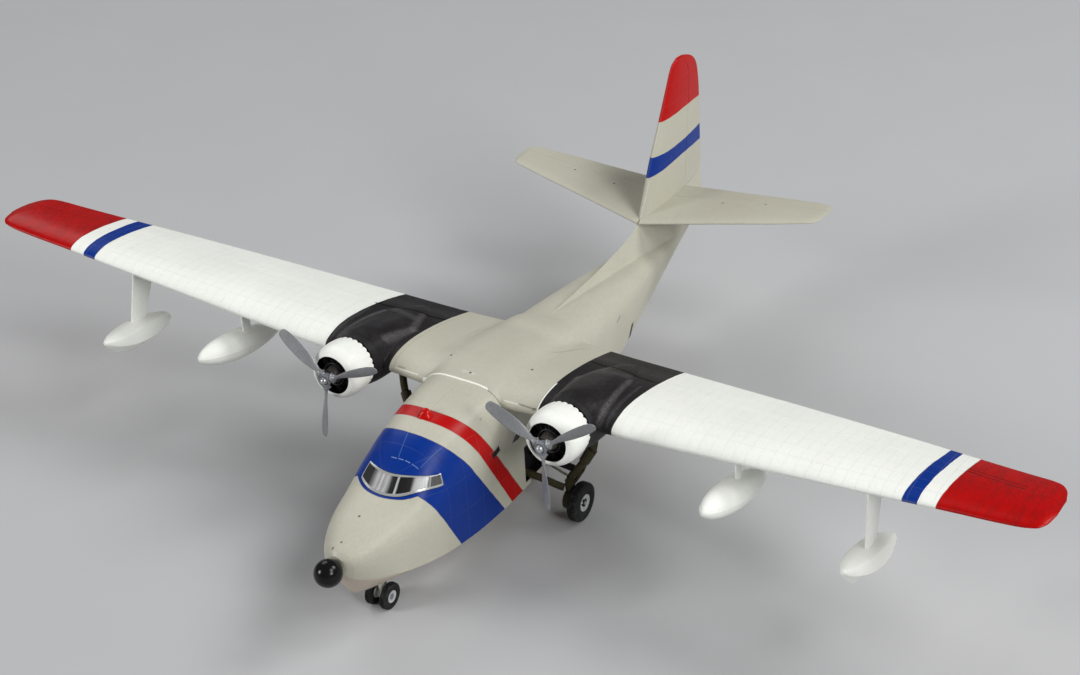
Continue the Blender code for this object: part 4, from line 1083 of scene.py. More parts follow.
# %% Sections of fin and tailplane
# Height, leading and trailing station, thickness
FIN_SLICES = (
    (54.0, 209.2, 261.7, 6.2),
    (62.0, 212.4, 261.5, 5.6),
    (76.0, 218.6, 260.9, 4.7),
    (92.0, 227.6, 260.1, 3.7),
    (101.0, 232.3, 258.8, 3.0),
    (105.0, 234.4, 257.2, 2.6),
    (108.5, 236.3, 253.6, 2.1),
    (110.5, 238.2, 249.3, 1.6),
    (111.6, 240.8, 245.6, 1.0),
)
# Half-span, leading and trailing station, rise above the root, thickness over chord
TAILPLANE_STATIONS = (
    (0.15, 208.4, 244.6, 0.0, 0.100),
    (30.0, 216.0, 243.2, 2.6, 0.100),
    (60.0, 223.6, 241.6, 5.2, 0.095),
    (65.6, 225.4, 240.6, 5.7, 0.080),
    (67.8, 229.5, 238.0, 5.9, 0.050),
)
TAILPLANE_RISE = {"port": 1.4, "starboard": 0.78}  # share of the table's rise, as the pair was glued askew
TAILPLANE_HEIGHT, TAIL_HINGE = 55.9, 0.66
TAIL_SHARES = chord_shares(TAIL_HINGE, 0.005)
fin_lead, fin_trail, fin_thick = (faired(FIN_SLICES, c) for c in range(1, 4))
tail_lead, tail_trail, tail_rise, tail_ratio = (faired(TAILPLANE_STATIONS, c) for c in range(1, 5))


def leaf_ring(lead, trail, ratio, roundness=1.0):
    """Stations, offsets and chord shares of a thin symmetric section, with a fine groove at its hinge."""
    chord = trail - lead
    half = (chord * leaf(TAIL_SHARES, ratio) + 0.22 * TAIL_SHARES) * roundness
    half = half - 0.12 * roundness * (np.abs(TAIL_SHARES - TAIL_HINGE) < 0.004)
    y = station_y(lead + chord * TAIL_SHARES)
    return round_leaf(y, y), round_leaf(half, -half), round_leaf(TAIL_SHARES, TAIL_SHARES)


rows, uvs = [], []
FIN_HEIGHTS = np.concatenate([
    np.linspace(56.2, 104, 60), 111.6 - 7.6 * (1 - np.sin(np.linspace(0.04, pi / 2, 20))),
])
for height in FIN_HEIGHTS:
    lead, trail = fin_lead(height), fin_trail(height)
    y, half, share = leaf_ring(lead, trail, fin_thick(height) / (trail - lead))
    rows.append(points_of(half, y, height))
    uvs.append(points_of(share * 40, height))
fin_shape = grid(rows, uv=uvs)
print("fin sections:", len(FIN_HEIGHTS))

# %% Fin and tailplane paint
# Height of each edge's level place, how it bends up away from there, its station, and the colour above
FIN_EDGES = ((72.05, -0.0021, 226.0, BLUE), (76.26, 0.00105, 272.7, GREY), (91.05, -0.0025, 230.8, RED))
FIN_MARKS = (
    ((210.2, 57.0), (217.0, 71.0), 0.4, 0.4, (0.62, 0.61, 0.54)),
    ((209.0, 56.4), (212.4, 62.6), 0.5, 0.7, (0.06, 0.05, 0.045)),
    ((246.5, 97.0), (247.3, 97.2), 0.6, 0.7, (0.16, 0.02, 0.02)),
)
TAILPLANE_MARKS = (
    ((-41.0, 231.2), (-40.9, 231.2), 0.8, 0.85, DARK_LINE),
    ((-21.9, 229.2), (-21.8, 229.2), 0.8, 0.85, DARK_LINE),
    ((25.4, 230.9), (25.5, 230.9), 0.8, 0.85, DARK_LINE),
    ((41.9, 234.4), (42.0, 234.4), 0.8, 0.85, DARK_LINE),
)


def tail_coat(name, edges, spots, across):
    """Grey paint with bands, and marks placed by the axis named across and by the height or the half-span."""
    made, n, shader, place = begin(name)
    marks = use(n, BRUSH_MARKS, {"Place": place, "Stretch": (1.6, 0.4, 0.8)})
    axes = n.split(place)
    station = n.plus(axes["Y"], MIDDLE_STATION)
    shade = n.mix(n.step(marks["Tone"], 0.3, 0.7), tinted(GREY, 0.94), tinted(GREY, 1.04))
    for edge, bend, level, colour in edges:
        rise = n.times(n.math("POWER", n.apart(station, level), 2.0), bend)
        sockets = {"Value": n.minus(axes["Z"], rise), "Edge": edge, "Place": place, "Waver": 0.6}
        shade = n.mix(use(n, BAND_EDGE, sockets)["Beyond"], shade, colour)
    spot_place = n.flat(station, axes["Z"]) if across == "Z" else n.flat(axes["X"], station)
    shade = with_marks(n, spot_place, shade, spots)
    lines = {"Place": n.surface(), "Spacing Along": 13.2, "Spacing Across": 7.4, "Line Width": 0.13}
    line = use(n, PANEL_LINES, lines)["Line"]
    shade = n.mix(n.times(line, 0.03), shade, (0.7, 0.7, 0.66))
    rough = n.step(marks["Tone"], 0.3, 0.7, 0.36, 0.5)
    cover(n, shader, shade, rough, n.plus(n.times(marks["Height"], 0.5), line), 0.05)
    return made


fin_paint = tail_coat("fin_paint", FIN_EDGES, FIN_MARKS, "Z")
piece("tail_fin_skin", fin_shape, fin_paint, stands_for="tail_fin")
tailplane_paint = tail_coat("tailplane_paint", (), TAILPLANE_MARKS, "X")
TAIL_PLACES = np.concatenate([
    np.linspace(0.3, 63, 50), 67.8 - 4.8 * (1 - np.sin(np.linspace(0.08, pi / 2, 16))),
])
for side, sign in SIDES:
    rows, uvs = [], []
    for x in TAIL_PLACES:
        thin = sqrt(max(0.05, 1 - max(0, (x - 64.4) / 3.5) ** 2))
        y, half, share = leaf_ring(tail_lead(x), tail_trail(x), tail_ratio(x), thin)
        height = TAILPLANE_HEIGHT + tail_rise(x) * TAILPLANE_RISE[side]
        rows.append(points_of(sign * x, y, height + half))
        uvs.append(points_of(x, share * 30))
    piece("tailplane_skin_" + side, grid(rows, uv=uvs), tailplane_paint,
          stands_for="tailplane_" + side)
print("tail made")

# %% [markdown]
# ## Nose ball, beacon and windshield
#
# A gloss black ball is glued on the nose. The windshield is one strip of clear plastic with silver
# paint along its frame; it looks dark, since the cockpit behind is closed off, with bright upright
# streaks that are painted reflections. The strip lies on the hull's own surface, so its points are
# read from the roof's height.

# %% Nose ball
BALL_RADIUS, BALL_STATION, BALL_HEIGHT = 4.68, 3.6, 31.7
turns = np.linspace(0.0, pi * 0.86, 40)
ball = turned([(-BALL_RADIUS * cos(t), max(0.02, BALL_RADIUS * sin(t))) for t in turns], 64)
ball = moved(ball, place_of(0, BALL_STATION, BALL_HEIGHT))
piece("nose_ball_gloss", ball, PAINT["gloss_black"], stands_for="nose_ball")
print("ball reaches station", round(BALL_STATION - BALL_RADIUS, 2))

# %% Beacon
# A blob of thick red paint, a little lumpy, round a small dome
BEACON_STATION = 61.9
BEACON_PROFILE = (
    (-0.35, 2.55), (0.15, 2.5), (0.5, 2.15), (0.85, 1.8), (1.3, 1.62), (1.8, 1.35), (2.2, 0.85), (2.4, 0.15),
)
points, faces, _ = turned(BEACON_PROFILE, 48, "X")
lumps = np.arctan2(points[:, 2], points[:, 1])
swell = 1 + 0.07 * np.sin(3 * lumps + 0.6) + 0.05 * np.sin(5 * lumps + points[:, 0] * 2)
blob = (points * points_of(1.0, swell, swell), faces, None)
roof_there = place_of(0, BEACON_STATION, float(cabin_roof(0.0, BEACON_STATION)))
beacon = moved(blob, roof_there @ Matrix.Rotation(-pi / 2, 4, "Y"))
piece("roof_beacon_lamp", beacon, PAINT["red"], stands_for="roof_beacon", sharp=80)
print("beacon faces:", len(faces))

# %% Windshield plastic
STRIP_HEIGHT = 6.0  # on the UV map
glass, n, shader, place = begin("windshield_plastic")
surface = n.surface()
split = n.split(surface)
# Painted reflections: turn in degrees from the middle, positive to port, and how bright the reflection is there
PAINTED_REFLECTIONS = (
    (-80, 0.035), (-22, 0.03), (-18, 0.16), (-14, 0.30), (-11, 0.50), (-8, 0.26), (-5, 0.55), (-2, 0.28),
    (2, 0.50), (6, 0.24), (9, 0.03), (15, 0.015), (16.6, 0.50), (18.2, 0.45), (19.4, 0.012), (36, 0.02), (40, 0.42),
    (46, 0.55), (52, 0.38), (57, 0.52), (59, 0.07), (60.6, 0.42), (62.4, 0.10), (80, 0.085),
)
turn_share = n.math("DIVIDE", n.plus(split["X"], 80.0), 160.0)
wander = n.times(n.minus(n.noise(n.scaled(surface, (0.3, 0.25, 1)), 1.0, 2.0), 0.5), 0.012)
reflection = ramp(n, n.plus(turn_share, wander), [((turn + 80) / 160, level) for turn, level in PAINTED_REFLECTIONS])
fine = n.noise(n.scaled(surface, (1.1, 0.12, 1)), 1.0, 3.0, 0.6)
shade = brightened(n, reflection, n.step(fine, 0.3, 0.7, 0.72, 1.2))
off_middle = n.apart(split["Y"], STRIP_HEIGHT / 2)
ends = n.step(n.apart(split["X"], 20.5), 56.8, 57.3)
rail = n.math("MAXIMUM", n.step(off_middle, 2.12, 2.22), ends)
shade = n.mix(rail, shade, (0.50, 0.51, 0.50))
shade = n.mix(n.step(off_middle, 2.82, 2.90), shade, (0.012, 0.010, 0.014))
n.feed(shader.inputs["Metallic"], n.times(rail, 0.55))
shader.inputs["Coat Weight"].default_value = 0.4
shader.inputs["Coat Roughness"].default_value = 0.08
cover(n, shader, shade, n.step(rail, 0.0, 1.0, 0.18, 0.36), n.plus(rail, n.times(fine, 0.15)), 0.1)

# %% Windshield strip
# It reaches further round to port than the solid does, and less far to starboard
STRIP_TURNS = (radians(-38), radians(79))
# How far its foot and its top lie out sideways and forwards of the centre, whose station comes last
BASE_REACH, TOP_REACH, STRIP_CENTRE = (15.9, 17.3), (14.3, 11.1), 50.5
rows, uvs = [], []
for t in np.linspace(*STRIP_TURNS, 91):
    row, uv = [], []
    for share in np.linspace(0, 1, 19):
        reach_x, reach_y = (base + (top - base) * share for base, top in zip(BASE_REACH, TOP_REACH))
        x, s = reach_x * sin(t), STRIP_CENTRE - reach_y * cos(t)
        lift = 0.03 + 0.30 * min(1.0, 8 * share, 8 * (1 - share))
        row.append((x, station_y(s), float(cabin_roof(x, s)) + lift))
        uv.append((t * 180 / pi, share * STRIP_HEIGHT))
    rows.append(row)
    uvs.append(uv)
windshield = piece("windshield_strip", grid(rows, closed=False, uv=uvs), glass,
                   stands_for="windshield")
print("windshield", [round(v * 1000, 1) for v in windshield.dimensions])

# %% [markdown]
# ## Engines
#
# Each engine is a nine-cylinder star in a barrel-shaped white cowling. Behind dark paint only its
# crankcase, cylinder heads and fins catch light. The cowling's rear edge is cut into flaps, which the
# painter let show as small scallops against the charcoal nacelle.

# %% Cowling
COWL_FRONT = 2.9
FLAPS = 26
# Distance aft of the lip and radius of the outside
COWL_LENGTH, FLAP_START = 11.7, 9.5
OUTER = (
    (0.0, 7.4), (0.25, 7.9), (0.7, 8.45), (1.5, 9.0), (2.8, 9.5), (4.5, 9.8), (7.0, 9.9), (FLAP_START, 9.75),
    (COWL_LENGTH, 9.4),
)
outer = faired(OUTER, 1)
# The inside, from the back round to the lip, with a third number that is 1 where it is dark
INNER = (
    (11.4, 8.95, 1), (8.0, 9.15, 1), (3.6, 8.7, 1), (1.6, 7.7, 1), (0.9, 7.2, 1), (0.5, 7.02, 0), (0.1, 7.0, 0),
    (-0.1, 7.15, 0),
)


def cowling_shape():
    """The barrel's wall, with its paint map: 0 outside, 1 inside."""
    turns = turns_of(FLAPS * 6)
    flap = np.abs(np.sin(turns * FLAPS / 2))
    rows, uvs = [], []

    def ring(place, radius, inside):
        rows.append(points_of(radius * np.cos(turns), place + COWL_FRONT, radius * np.sin(turns)))
        uvs.append(points_of(inside, turns))

    for place in COWL_LENGTH * np.linspace(0, 1, 28) ** 1.5:
        back = np.clip((place - FLAP_START) / (COWL_LENGTH - FLAP_START), 0, 1)
        slit = 0.16 * (back > 0.05) * (flap < 0.3)
        ring(place - 0.5 * back * (1 - flap), float(outer(place)) - slit, 0)
    for place, radius, inside in INNER:
        ring(place, radius, inside)
    return grid([*rows, rows[0]], caps=False, uv=[*uvs, uvs[0]])


cowl_paint, n, shader, place = begin("cowling_paint")
marks = use(n, BRUSH_MARKS, {"Place": place, "Stretch": (1.0, 0.4, 1.0)})
inside = n.split(n.surface())["X"]
shade = n.mix(n.step(marks["Tone"], 0.3, 0.7), tinted(WHITE, 0.96), tinted(WHITE, 1.04))
shade = n.mix(n.step(inside, 0.1, 0.9), shade, (0.012, 0.012, 0.013))
cover(n, shader, shade, n.step(marks["Tone"], 0.3, 0.7, 0.26, 0.38), marks["Height"], 0.03)
print("cowling faces:", len(cowling_shape()[1]))


# %% Crankcase and star of cylinders
CYLINDERS, FINS = 9, 9
CASE_PROFILE = (
    (1.6, 0.2), (1.65, 1.8), (2.0, 2.3), (2.7, 2.75), (3.6, 3.05), (5.0, 3.3), (12.6, 3.4), (12.7, 0.3),
)


def crankcase_shape():
    """The domed nose of the crankcase with its ring of bolts."""
    parts = [turned(CASE_PROFILE, 48)]
    bolt = moved(turned([(3.1, 0.05), (3.0, 0.28), (3.9, 0.28)], 8), Matrix.Translation((2.55, 0.2, 0)))
    for turn in turns_of(CYLINDERS):
        parts.append(moved(bolt, Matrix.Rotation(turn, 4, "Y")))
    return joined(*parts)


def cylinders_shape():
    """The bulkhead, the star of finned cylinders with their push rods, and the ring that joins them."""
    stem = [turned([(2.8, 1.0), (8.2, 1.0), (8.3, 0.3)], 20, "X")]
    for level in 3.9 + 0.42 * np.arange(FINS):
        profile = [(level, 0.4), (level, 1.45), (level + 0.16, 1.45), (level + 0.16, 0.4)]
        stem.append(turned(profile, 20, "X"))
    stem.append(turned([(7.7, 1.3), (8.2, 1.2), (8.4, 0.7)], 20, "X"))
    rods = [tube([(2.6, 5.0, offset * 0.6), (8.0, 6.6, offset)], 0.2, 8) for offset in (-0.7, 0.7)]
    cylinder = joined(moved(joined(*stem), Matrix.Translation((0, 8.0, 0))), *rods)
    parts = [turned([(12.4, 0.3), (12.4, 8.4), (13.6, 8.4), (14.3, 6.0), (14.4, 0.3)], 48)]
    for k in range(CYLINDERS):
        parts.append(moved(cylinder, Matrix.Rotation(2 * pi * (k + 0.25) / CYLINDERS, 4, "Y")))
    parts.append(turned([(4.3 + 0.28 * sin(t), 4.0 + 0.28 * cos(t)) for t in turns_of(10)], 48, closed=True))
    return joined(*parts)


print("engine faces:", len(cylinders_shape()[1]) + len(crankcase_shape()[1]))

# %% Propeller
PROPELLER_RADIUS = 23.3
BLADE_TURNS = {"port": radians(35.3), "starboard": radians(24.4)}
# Share of the radius, chord, thickness, twist in degrees
BLADE_SECTIONS = (
    (0.05, 1.5, 1.5, 60), (0.16, 1.6, 1.4, 55), (0.28, 2.7, 1.0, 48), (0.45, 4.1, 0.8, 38),
    (0.65, 4.5, 0.7, 30), (0.84, 4.2, 0.6, 24), (0.95, 3.2, 0.5, 22), (1.0, 1.3, 0.4, 21),
)
blade_chord, blade_thick, blade_twist = (faired(BLADE_SECTIONS, c) for c in range(1, 4))


def blade_shape():
    """One blade through sections that twist, with a rounded tip."""
    rows = []
    turns = turns_of(24)
    tip = 1 - 0.06 * (1 - np.sin(np.linspace(0.1, pi / 2, 10)))
    for share in np.concatenate([np.linspace(0.05, 0.94, 34), tip]):
        chord = blade_chord(share)
        if share > 0.94:
            chord = blade_chord(0.94) * sqrt(max(0.02, 1 - ((share - 0.94) / 0.0605) ** 2))
        pitch = radians(blade_twist(share))
        across = chord / 2 * np.cos(turns)
        thick = blade_thick(share) / 2 * np.sin(turns)
        along = across * sin(pitch) + thick * cos(pitch)
        rows.append(points_of(PROPELLER_RADIUS * share, along, thick * sin(pitch) - across * cos(pitch)))
    return grid(rows)


def blades_shape(side):
    """Three blades, each with its clamp and four bolts."""
    clamp = [(1.2, 1.2), (2.4, 1.28), (2.5, 1.45), (3.1, 1.45), (3.2, 1.2), (4.0, 1.0), (4.2, 0.7)]
    bolt = turned([(-0.55, 0.28), (0.55, 0.28)], 12)
    arm = [blade_shape(), turned(clamp, 28, "X")]
    for lug in (-1, 1):
        for spot in ((2.8, 0, 1.42 * lug), (1.9, -0.9, 1.05 * lug)):
            arm.append(moved(bolt, Matrix.Translation(spot)))
    turns = -(BLADE_TURNS[side] + turns_of(3))
    return joined(*(moved(joined(*arm), Matrix.Rotation(turn, 4, "Y")) for turn in turns))


def hub_barrel_shape():
    """The hub's barrel and the raised collar that holds the dome."""
    barrel = [(-1.25, 1.2), (-1.05, 1.85), (-0.8, 2.05), (0.9, 2.05), (1.2, 1.6), (1.3, 0.3)]
    collar = [
        (-1.05, 1.45), (-1.55, 1.55), (-1.68, 1.8), (-1.62, 2.05), (-1.35, 2.15), (-1.1, 2.1), (-1.0, 1.6),
    ]
    return joined(turned(barrel, 40), turned(collar, 40, closed=True))


DOME_RADIUS, DOME_CENTRE = 1.4, -1.5
dome = [(DOME_CENTRE - DOME_RADIUS * cos(t), max(0.02, DOME_RADIUS * sin(t))) for t in np.linspace(0, 1.75, 20)]
dome_shape = turned(dome, 40)
print("blade faces:", len(blade_shape()[1]))

# %% Both engines in place
def nacelle_shape():
    rows = []
    turns = turns_of(96)
    sine, cosine = np.sin(turns), np.cos(turns)
    power = 2 / np.where(sine > 0, NACELLE_SQUARE, 2.0)
    for along in np.concatenate([[15.2], np.linspace(15.2, 60, 72)]):
        narrow = 1.0 if rows else 0.93
        up = np.where(sine > 0, nacelle_above(along), nacelle_below(along))
        x = nacelle_wide(along) * np.sign(cosine) * np.abs(cosine) ** power
        z = up * np.sign(sine) * np.abs(sine) ** power
        rows.append(points_of(x * narrow, along, z * narrow - 0.05))
    return grid(rows)


for side, sign in SIDES:
    at_engine = place_of(sign * ENGINE_X, THRUST_STATION, THRUST_HEIGHT) @ Matrix.Rotation(THRUST_TILT, 4, "X")
    turning = "propeller_" + side
    piece("cowling_shell_" + side, moved(cowling_shape(), at_engine), cowl_paint,
          stands_for="cowling_" + side, sharp=50)
    piece("engine_star_" + side, moved(cylinders_shape(), at_engine), PAINT["engine"],
          stands_for="engine_" + side)
    piece("engine_crankcase_" + side, moved(crankcase_shape(), at_engine), PAINT["crankcase"])
    piece("propeller_blades_" + side, moved(blades_shape(side), at_engine), PAINT["propeller"], turning,
          stands_for=turning)
    for name, shape, paint in (("hub", hub_barrel_shape(), "hub_blue"), ("dome", dome_shape, "silver")):
        piece(f"propeller_{name}_{side}", moved(shape, at_engine), PAINT[paint], turning)
    piece("nacelle_skin_" + side, moved(nacelle_shape(), at_engine), PAINT["charcoal"],
          stands_for="nacelle_" + side)
print("engines made")

# %% [markdown]
# ## Tanks and floats
#
# The drop tanks are plain spindles under short pylons. The floats are fixed under flat struts, and on
# this model each was glued a little askew, so each has its own pitch and yaw.

# %% Drop tanks
TANK_LENGTH, TANK_RADIUS = 52.0, 5.4
# Half-span and station and height of the nose, then pitch and yaw in degrees
TANK_SEATS = {"port": (100.4, 64.9, 49.3, -18.0, 1.6), "starboard": (-99.7, 63.6, 47.5, -16.0, 5.0)}
# Height, leading and trailing station of a pylon's two ends
PYLON_ENDS = ((42.0, 88.0, 92.4), (60.0, 88.0, 92.4))
STRUT_SHARES = (1 - np.cos(np.linspace(0, pi, 25))) / 2


def upright_leaf(x, ends, ratio):
    """A strut or pylon of leaf section through (height, leading, trailing) rows."""
    rows = []
    for height, lead, trail in ends:
        half = (trail - lead) * leaf(STRUT_SHARES, ratio) + 0.15 * STRUT_SHARES
        y = station_y(lead + (trail - lead) * STRUT_SHARES)
        rows.append(round_leaf(points_of(x + half, y, height), points_of(x - half, y, height)))
    return grid(rows)


def tank_shape():
    """A spindle of two halves: the seam between them stands proud as a fine line on both sides."""
    rows = []
    turns = turns_of(72)
    seam = 0.14 * (np.arange(72) % 36 == 0)
    for share in (1 - np.cos(np.linspace(0, pi, 61))) / 2:
        radius = max(0.05, TANK_RADIUS * max(0, sin(pi * share**0.82)) ** 0.62)
        grown = radius + seam * min(1, radius / 2)
        rows.append(points_of(grown * np.cos(turns), TANK_LENGTH * share, grown * np.sin(turns)))
    return grid(rows)


for side, sign in SIDES:
    x, s, z, pitch, yaw = TANK_SEATS[side]
    seat = place_of(x, s, z) @ Matrix.Rotation(radians(yaw), 4, "Z") @ Matrix.Rotation(radians(pitch), 4, "X")
    piece("drop_tank_skin_" + side, moved(tank_shape(), seat), PAINT["white"],
          stands_for="drop_tank_" + side)
    piece("tank_pylon_skin_" + side, upright_leaf(x, PYLON_ENDS, 0.3), PAINT["white"],
          stands_for="tank_pylon_" + side)
print("tanks made")

# %% Floats
# Station, height of the deck's ridge, half-width and height of the shoulder and of the chine, keel height
FLOAT_SECTIONS = (
    (63.3, 41.6, 0.6, 41.2, 0.5, 40.6, 40.2),
    (64.6, 41.9, 1.6, 41.0, 1.4, 39.6, 38.3),
    (69.0, 42.1, 3.5, 40.6, 3.3, 37.6, 34.2),
    (75.0, 42.0, 4.2, 40.4, 4.1, 35.4, 31.6),
    (82.0, 41.3, 4.2, 39.7, 4.2, 33.8, 30.2),
    (89.0, 39.8, 3.5, 38.3, 3.5, 33.0, 29.6),
    (95.0, 37.6, 2.0, 36.4, 2.0, 32.6, 29.8),
    (98.5, 35.4, 0.9, 34.6, 0.9, 32.0, 30.6),
    (99.8, 33.6, 0.4, 33.2, 0.4, 32.0, 31.4),
)
FLOAT_PIVOT = (83.0, 41.2)  # station and height of the point that a float is turned about
# Half-span, station and height of that point, then pitch, roll and yaw in degrees
FLOAT_SEATS = {
    "port": (146.7, 88.4, 39.4, -3.5, -4.8, -3.7),
    "starboard": (-146.9, 83.0, 41.1, 0.0, 0.3, 1.8),
}
STRUT_X, STRUT_THICKNESS = 147.0, 1.8
# Height, leading station and chord of the strut's two ends
STRUT_ENDS = {
    "port": ((37.0, 82.6, 8.4), (64.0, 82.0, 13.2)),
    "starboard": ((38.0, 77.8, 7.8), (64.0, 85.3, 13.2)),
}
ridge_z, shoulder_x, shoulder_z, low_x, low_z, float_keel = (faired(FLOAT_SECTIONS, c) for c in range(1, 7))


def float_shape():
    """The float about its pivot: a crowned deck, flat sides and a keeled bottom with a soft shoulder."""
    rows = []
    t = np.linspace(0, 1, 11)
    for s in np.concatenate([63.3 + 1.3 * np.linspace(0, 1, 8)[:-1] ** 2, np.linspace(64.6, 99.8, 60)]):
        deck_x = shoulder_x(s) * np.sin(t * pi / 2) ** 1.15
        deck_z = ridge_z(s) + (shoulder_z(s) - ridge_z(s)) * t**1.7
        flank_x = shoulder_x(s) + (low_x(s) - shoulder_x(s)) * t[1:] + 0.12 * np.sin(pi * t[1:])
        flank_z = shoulder_z(s) + (low_z(s) - shoulder_z(s)) * t[1:]
        bottom_x = low_x(s) * (1 - t[1:])
        bottom_z = low_z(s) + (float_keel(s) - low_z(s)) * t[1:] ** 1.1
        x = np.concatenate([deck_x, flank_x, bottom_x])
        z = np.concatenate([deck_z, flank_z, bottom_z])
        rows.append(both_halves(points_of(x, s - FLOAT_PIVOT[0], z - FLOAT_PIVOT[1])))
    return grid(rows)


for side, sign in SIDES:
    x, s, z, *angles = FLOAT_SEATS[side]
    seat = place_of(x, s, z)
    for angle, axis in zip(angles[::-1], "ZYX"):
        seat = seat @ Matrix.Rotation(radians(angle), 4, axis)
    piece("float_skin_" + side, moved(float_shape(), seat), PAINT["white"],
          stands_for="float_" + side)
    (low, low_lead, low_chord), (high, high_lead, high_chord) = STRUT_ENDS[side]
    ends = []
    for share in np.linspace(0, 1, 12):
        lead, chord = low_lead + (high_lead - low_lead) * share, low_chord + (high_chord - low_chord) * share
        ends.append((low + (high - low) * share, lead, lead + chord))
    strut = upright_leaf(sign * STRUT_X, ends, STRUT_THICKNESS / (low_chord + high_chord) * 2)
    piece("float_strut_skin_" + side, strut, PAINT["white"],
          stands_for="float_strut_" + side)
print("floats made")

# %% [markdown]
# ## Wheels and legs
#
# The tyres are turned rings with three shallow grooves, and each hub is a dished disc with six ribs. The
# main leg leans out from the wheel to the nacelle, with a scissor link behind it, and two bars and a thin
# rod brace it from the black well in the hull's side.


# %% Wheels
GROOVE = 0.22  # depth of the grooves in a tyre


def tyre_shape(radius, width, bore):
    """A closed ring with three shallow grooves in its tread."""
    half, wall = width / 2, radius - bore
    rim = [(-0.8, bore), (-0.98, bore + wall * 0.25), (-1.0, bore + wall * 0.5), (-0.93, bore + wall * 0.78),
           (-0.78, radius * 0.965), (-0.6, radius * 0.99)]
    tread = []
    for middle in (-0.38, 0.0, 0.38):
        tread += [(middle - 0.09, radius), (middle - 0.05, radius - GROOVE), (middle + 0.05, radius - GROOVE),
                  (middle + 0.09, radius)]
    profile = rim + tread + [(-place, r) for place, r in rim[::-1]]
    return turned([(half * place, r) for place, r in profile], 72, "X", -pi / 2 + pi / 72, closed=True)


def hub_shape(sign, radius, width):
    """A dished disc with a raised rim and six short ribs."""
    half = width / 2
    disc = [(-0.84, radius), (-0.84, radius * 0.3), (-0.4, radius * 0.3)]
    face = [(0.55, 0.35), (0.62, 0.6), (0.70, 0.86), (0.86, 0.9), (0.86, 1.0)]
    profile = disc + [(p, radius * r) for p, r in face]
    parts = [turned([(sign * half * p, r) for p, r in profile], 54, "X", closed=True)]
    low, high = (0.55, -0.09 * radius, radius * 0.5), (0.8, 0.09 * radius, radius * 0.9)
    rib = block(*((sign * half * p, y, z) for p, y, z in (low, high)))
    for turn in turns_of(6):
        parts.append(moved(rib, Matrix.Rotation(turn, 4, "X")))
    return joined(*parts)


def cap_shape(sign, radius, width):
    """The dark boss in the middle of the hub."""
    half = width / 2
    boss = [(-0.38, 0.1), (-0.38, 0.46), (0.66, 0.5), (0.80, 0.46), (0.86, 0.2), (0.86, 0.04)]
    return turned([(sign * half * p, radius * r) for p, r in boss], 30, "X")


MAIN_WHEEL = (35.2, 100.0, 7.25, 4.2, 3.15)  # half-track, station, tyre radius, width, hub radius
NOSE_WHEEL = (2.95, 29.0, 4.75, 2.5, 2.2)
AXLE_END = ((1.6, 0.3), (1.6, 0.75), (1.98, 0.7), (2.05, 0.3), (2.05, 0.05))
for side, sign in SIDES:
    for name, body, cap_paint, (x, s, radius, width, hub) in (
        ("main", "main_wheel_" + side, "gear_black", MAIN_WHEEL),
        ("nose", "nose_wheels", "hub_blue", NOSE_WHEEL),
    ):
        middle = place_of(sign * x, s, radius)
        piece(f"{name}_tyre_ring_{side}", moved(tyre_shape(radius, width, hub), middle), PAINT["tyre"], body,
              stands_for=f"{name}_tyre_{side}", sharp=28)
        piece(f"{name}_hub_disc_{side}", moved(hub_shape(sign, hub, width), middle), PAINT["hub"], body,
              stands_for=f"{name}_hub_{side}")
        cap = moved(cap_shape(sign, hub, width), middle)
        piece(f"{name}_hub_boss_{side}", cap, PAINT[cap_paint], body)
        if name == "main":
            stub = moved(turned([(sign * p, r) for p, r in AXLE_END], 20, "X"), middle)
            piece("main_axle_end_" + side, stub, PAINT["silver"], body)
print("wheels made")

# %% Main legs
# Points as half-width, station and height, then radius, number of sides and how flat
LEG_POINTS = (
    (31.3, 100.0, 7.25), (31.2, 99.8, 15.5), (35.4, 101.0, 22.5), (39.4, 103.0, 30.0), (40.0, 103.6, 44.0),
)
LEG_BARS = (
    (softly(LEG_POINTS, 8), 1.35, 24),
    (((31.25, 99.85, 12.0), (31.2, 99.8, 15.2)), 1.75, 24),
    (((36.5, 101.4, 24.2), (39.0, 102.8, 29.2)), 1.95, 24),
    (((34.0, 100.2, 19.6), (35.6, 103.6, 23.4), (37.6, 104.6, 26.4)), 0.8, 16),
    (((31.4, 101.0, 12.4), (33.6, 104.8, 17.0), (36.6, 103.6, 23.6)), 0.7, 16),
    (((29.8, 100.0, 7.25), (35.3, 100.0, 7.25)), 0.7, 16),
)
ARM = (softly(((14.5, 95.6, 16.4), (22.0, 96.6, 15.0), (27.5, 98.0, 13.0), (29.6, 98.6, 12.4))), 1.5, 20, 0.7)
BEAM = (((14.5, 101.6, 21.0), (24.0, 101.2, 20.6), (32.2, 100.8, 20.2)), 1.3, 20)
ROD = (((14.5, 106.0, 15.5), (30.4, 101.2, 15.6)), 0.45, 14)
DRUM = ((-1.5, 0.3), (-1.5, 3.6), (-1.3, 3.9), (0.9, 4.15), (0.9, 0.3))


def bar(sign, points, *section):
    """A tube on one side of the model."""
    return tube([(sign * x, station_y(s), z) for x, s, z in points], *section)


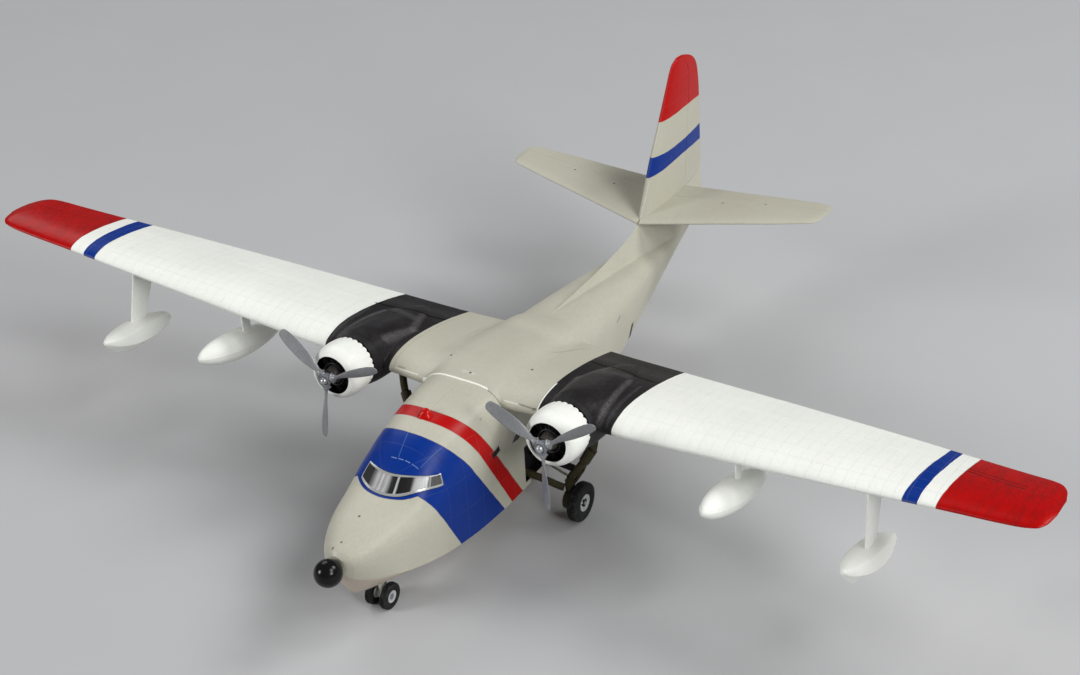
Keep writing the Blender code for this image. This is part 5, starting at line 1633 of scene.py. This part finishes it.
for side, sign in SIDES:
    drum = moved(mirrored(turned(DRUM, 48, "X"), sign), place_of(sign * 31.3, 100.0, 7.25))
    leg = joined(*(bar(sign, *row) for row in LEG_BARS), drum)
    piece("main_leg_" + side + "_detailed", leg, PAINT["olive"],
          stands_for="main_leg_" + side)
    for name, row, paint, slot in (
        ("main_arm", ARM, "olive", "olive_paint"), ("main_beam", BEAM, "gear_black", "gear_black"),
        ("main_rod", ROD, "pale", "pale_grey_paint"),
    ):
        piece(f"{name}_bar_{side}", bar(sign, *row), PAINT[paint], stands_for=f"{name}_{side}")
print("main legs made")

# %% Nose leg
nose_x, nose_s, nose_radius = NOSE_WHEEL[:3]
nose_middle = place_of(0, nose_s, nose_radius)
collar = turned([(-1.2, 0.95), (-1.2, 1.7), (1.2, 1.7), (1.2, 0.95)], 28, "X", closed=True)
fork = (
    bar(1, ((0, nose_s, nose_radius), (0, nose_s, 11.4)), 1.1, 24),
    moved(collar, nose_middle),
    bar(1, ((0, nose_s + 1.6, 5.6), (0, nose_s + 3.2, 11.6)), 0.5, 14),
)
piece("nose_leg_strut", joined(*fork), PAINT["pale"], stands_for="nose_leg")
axle = turned([(-nose_x, 0.7), (nose_x, 0.7)], 20, "X")
piece("nose_axle_bar", moved(axle, nose_middle), PAINT["pale"], "nose_wheels",
      stands_for="nose_axle")
print("undercarriage made")

# %% [markdown]
# ## Floor
#
# The model stands on a seamless sheet of pale grey paper. A large plane is enough, since the camera looks
# down and never sees its edge. Its faint mottling keeps it from looking like a flat fill.

# %% Paper
paper, n, shader, place = begin("paper_grey")
fibre = n.noise(place, 0.02, 4.0, 0.6)
n.feed(shader.inputs["Base Color"], n.mix(fibre, (0.445, 0.450, 0.457), (0.470, 0.472, 0.476)))
shader.inputs["Roughness"].default_value = 0.85
sheet = grid([[(-6000, -6000, 0), (6000, -6000, 0)], [(-6000, 9000, 0), (6000, 9000, 0)]], closed=False)
floor = put("paper_floor", mesh_of("paper_floor", sheet, paper))
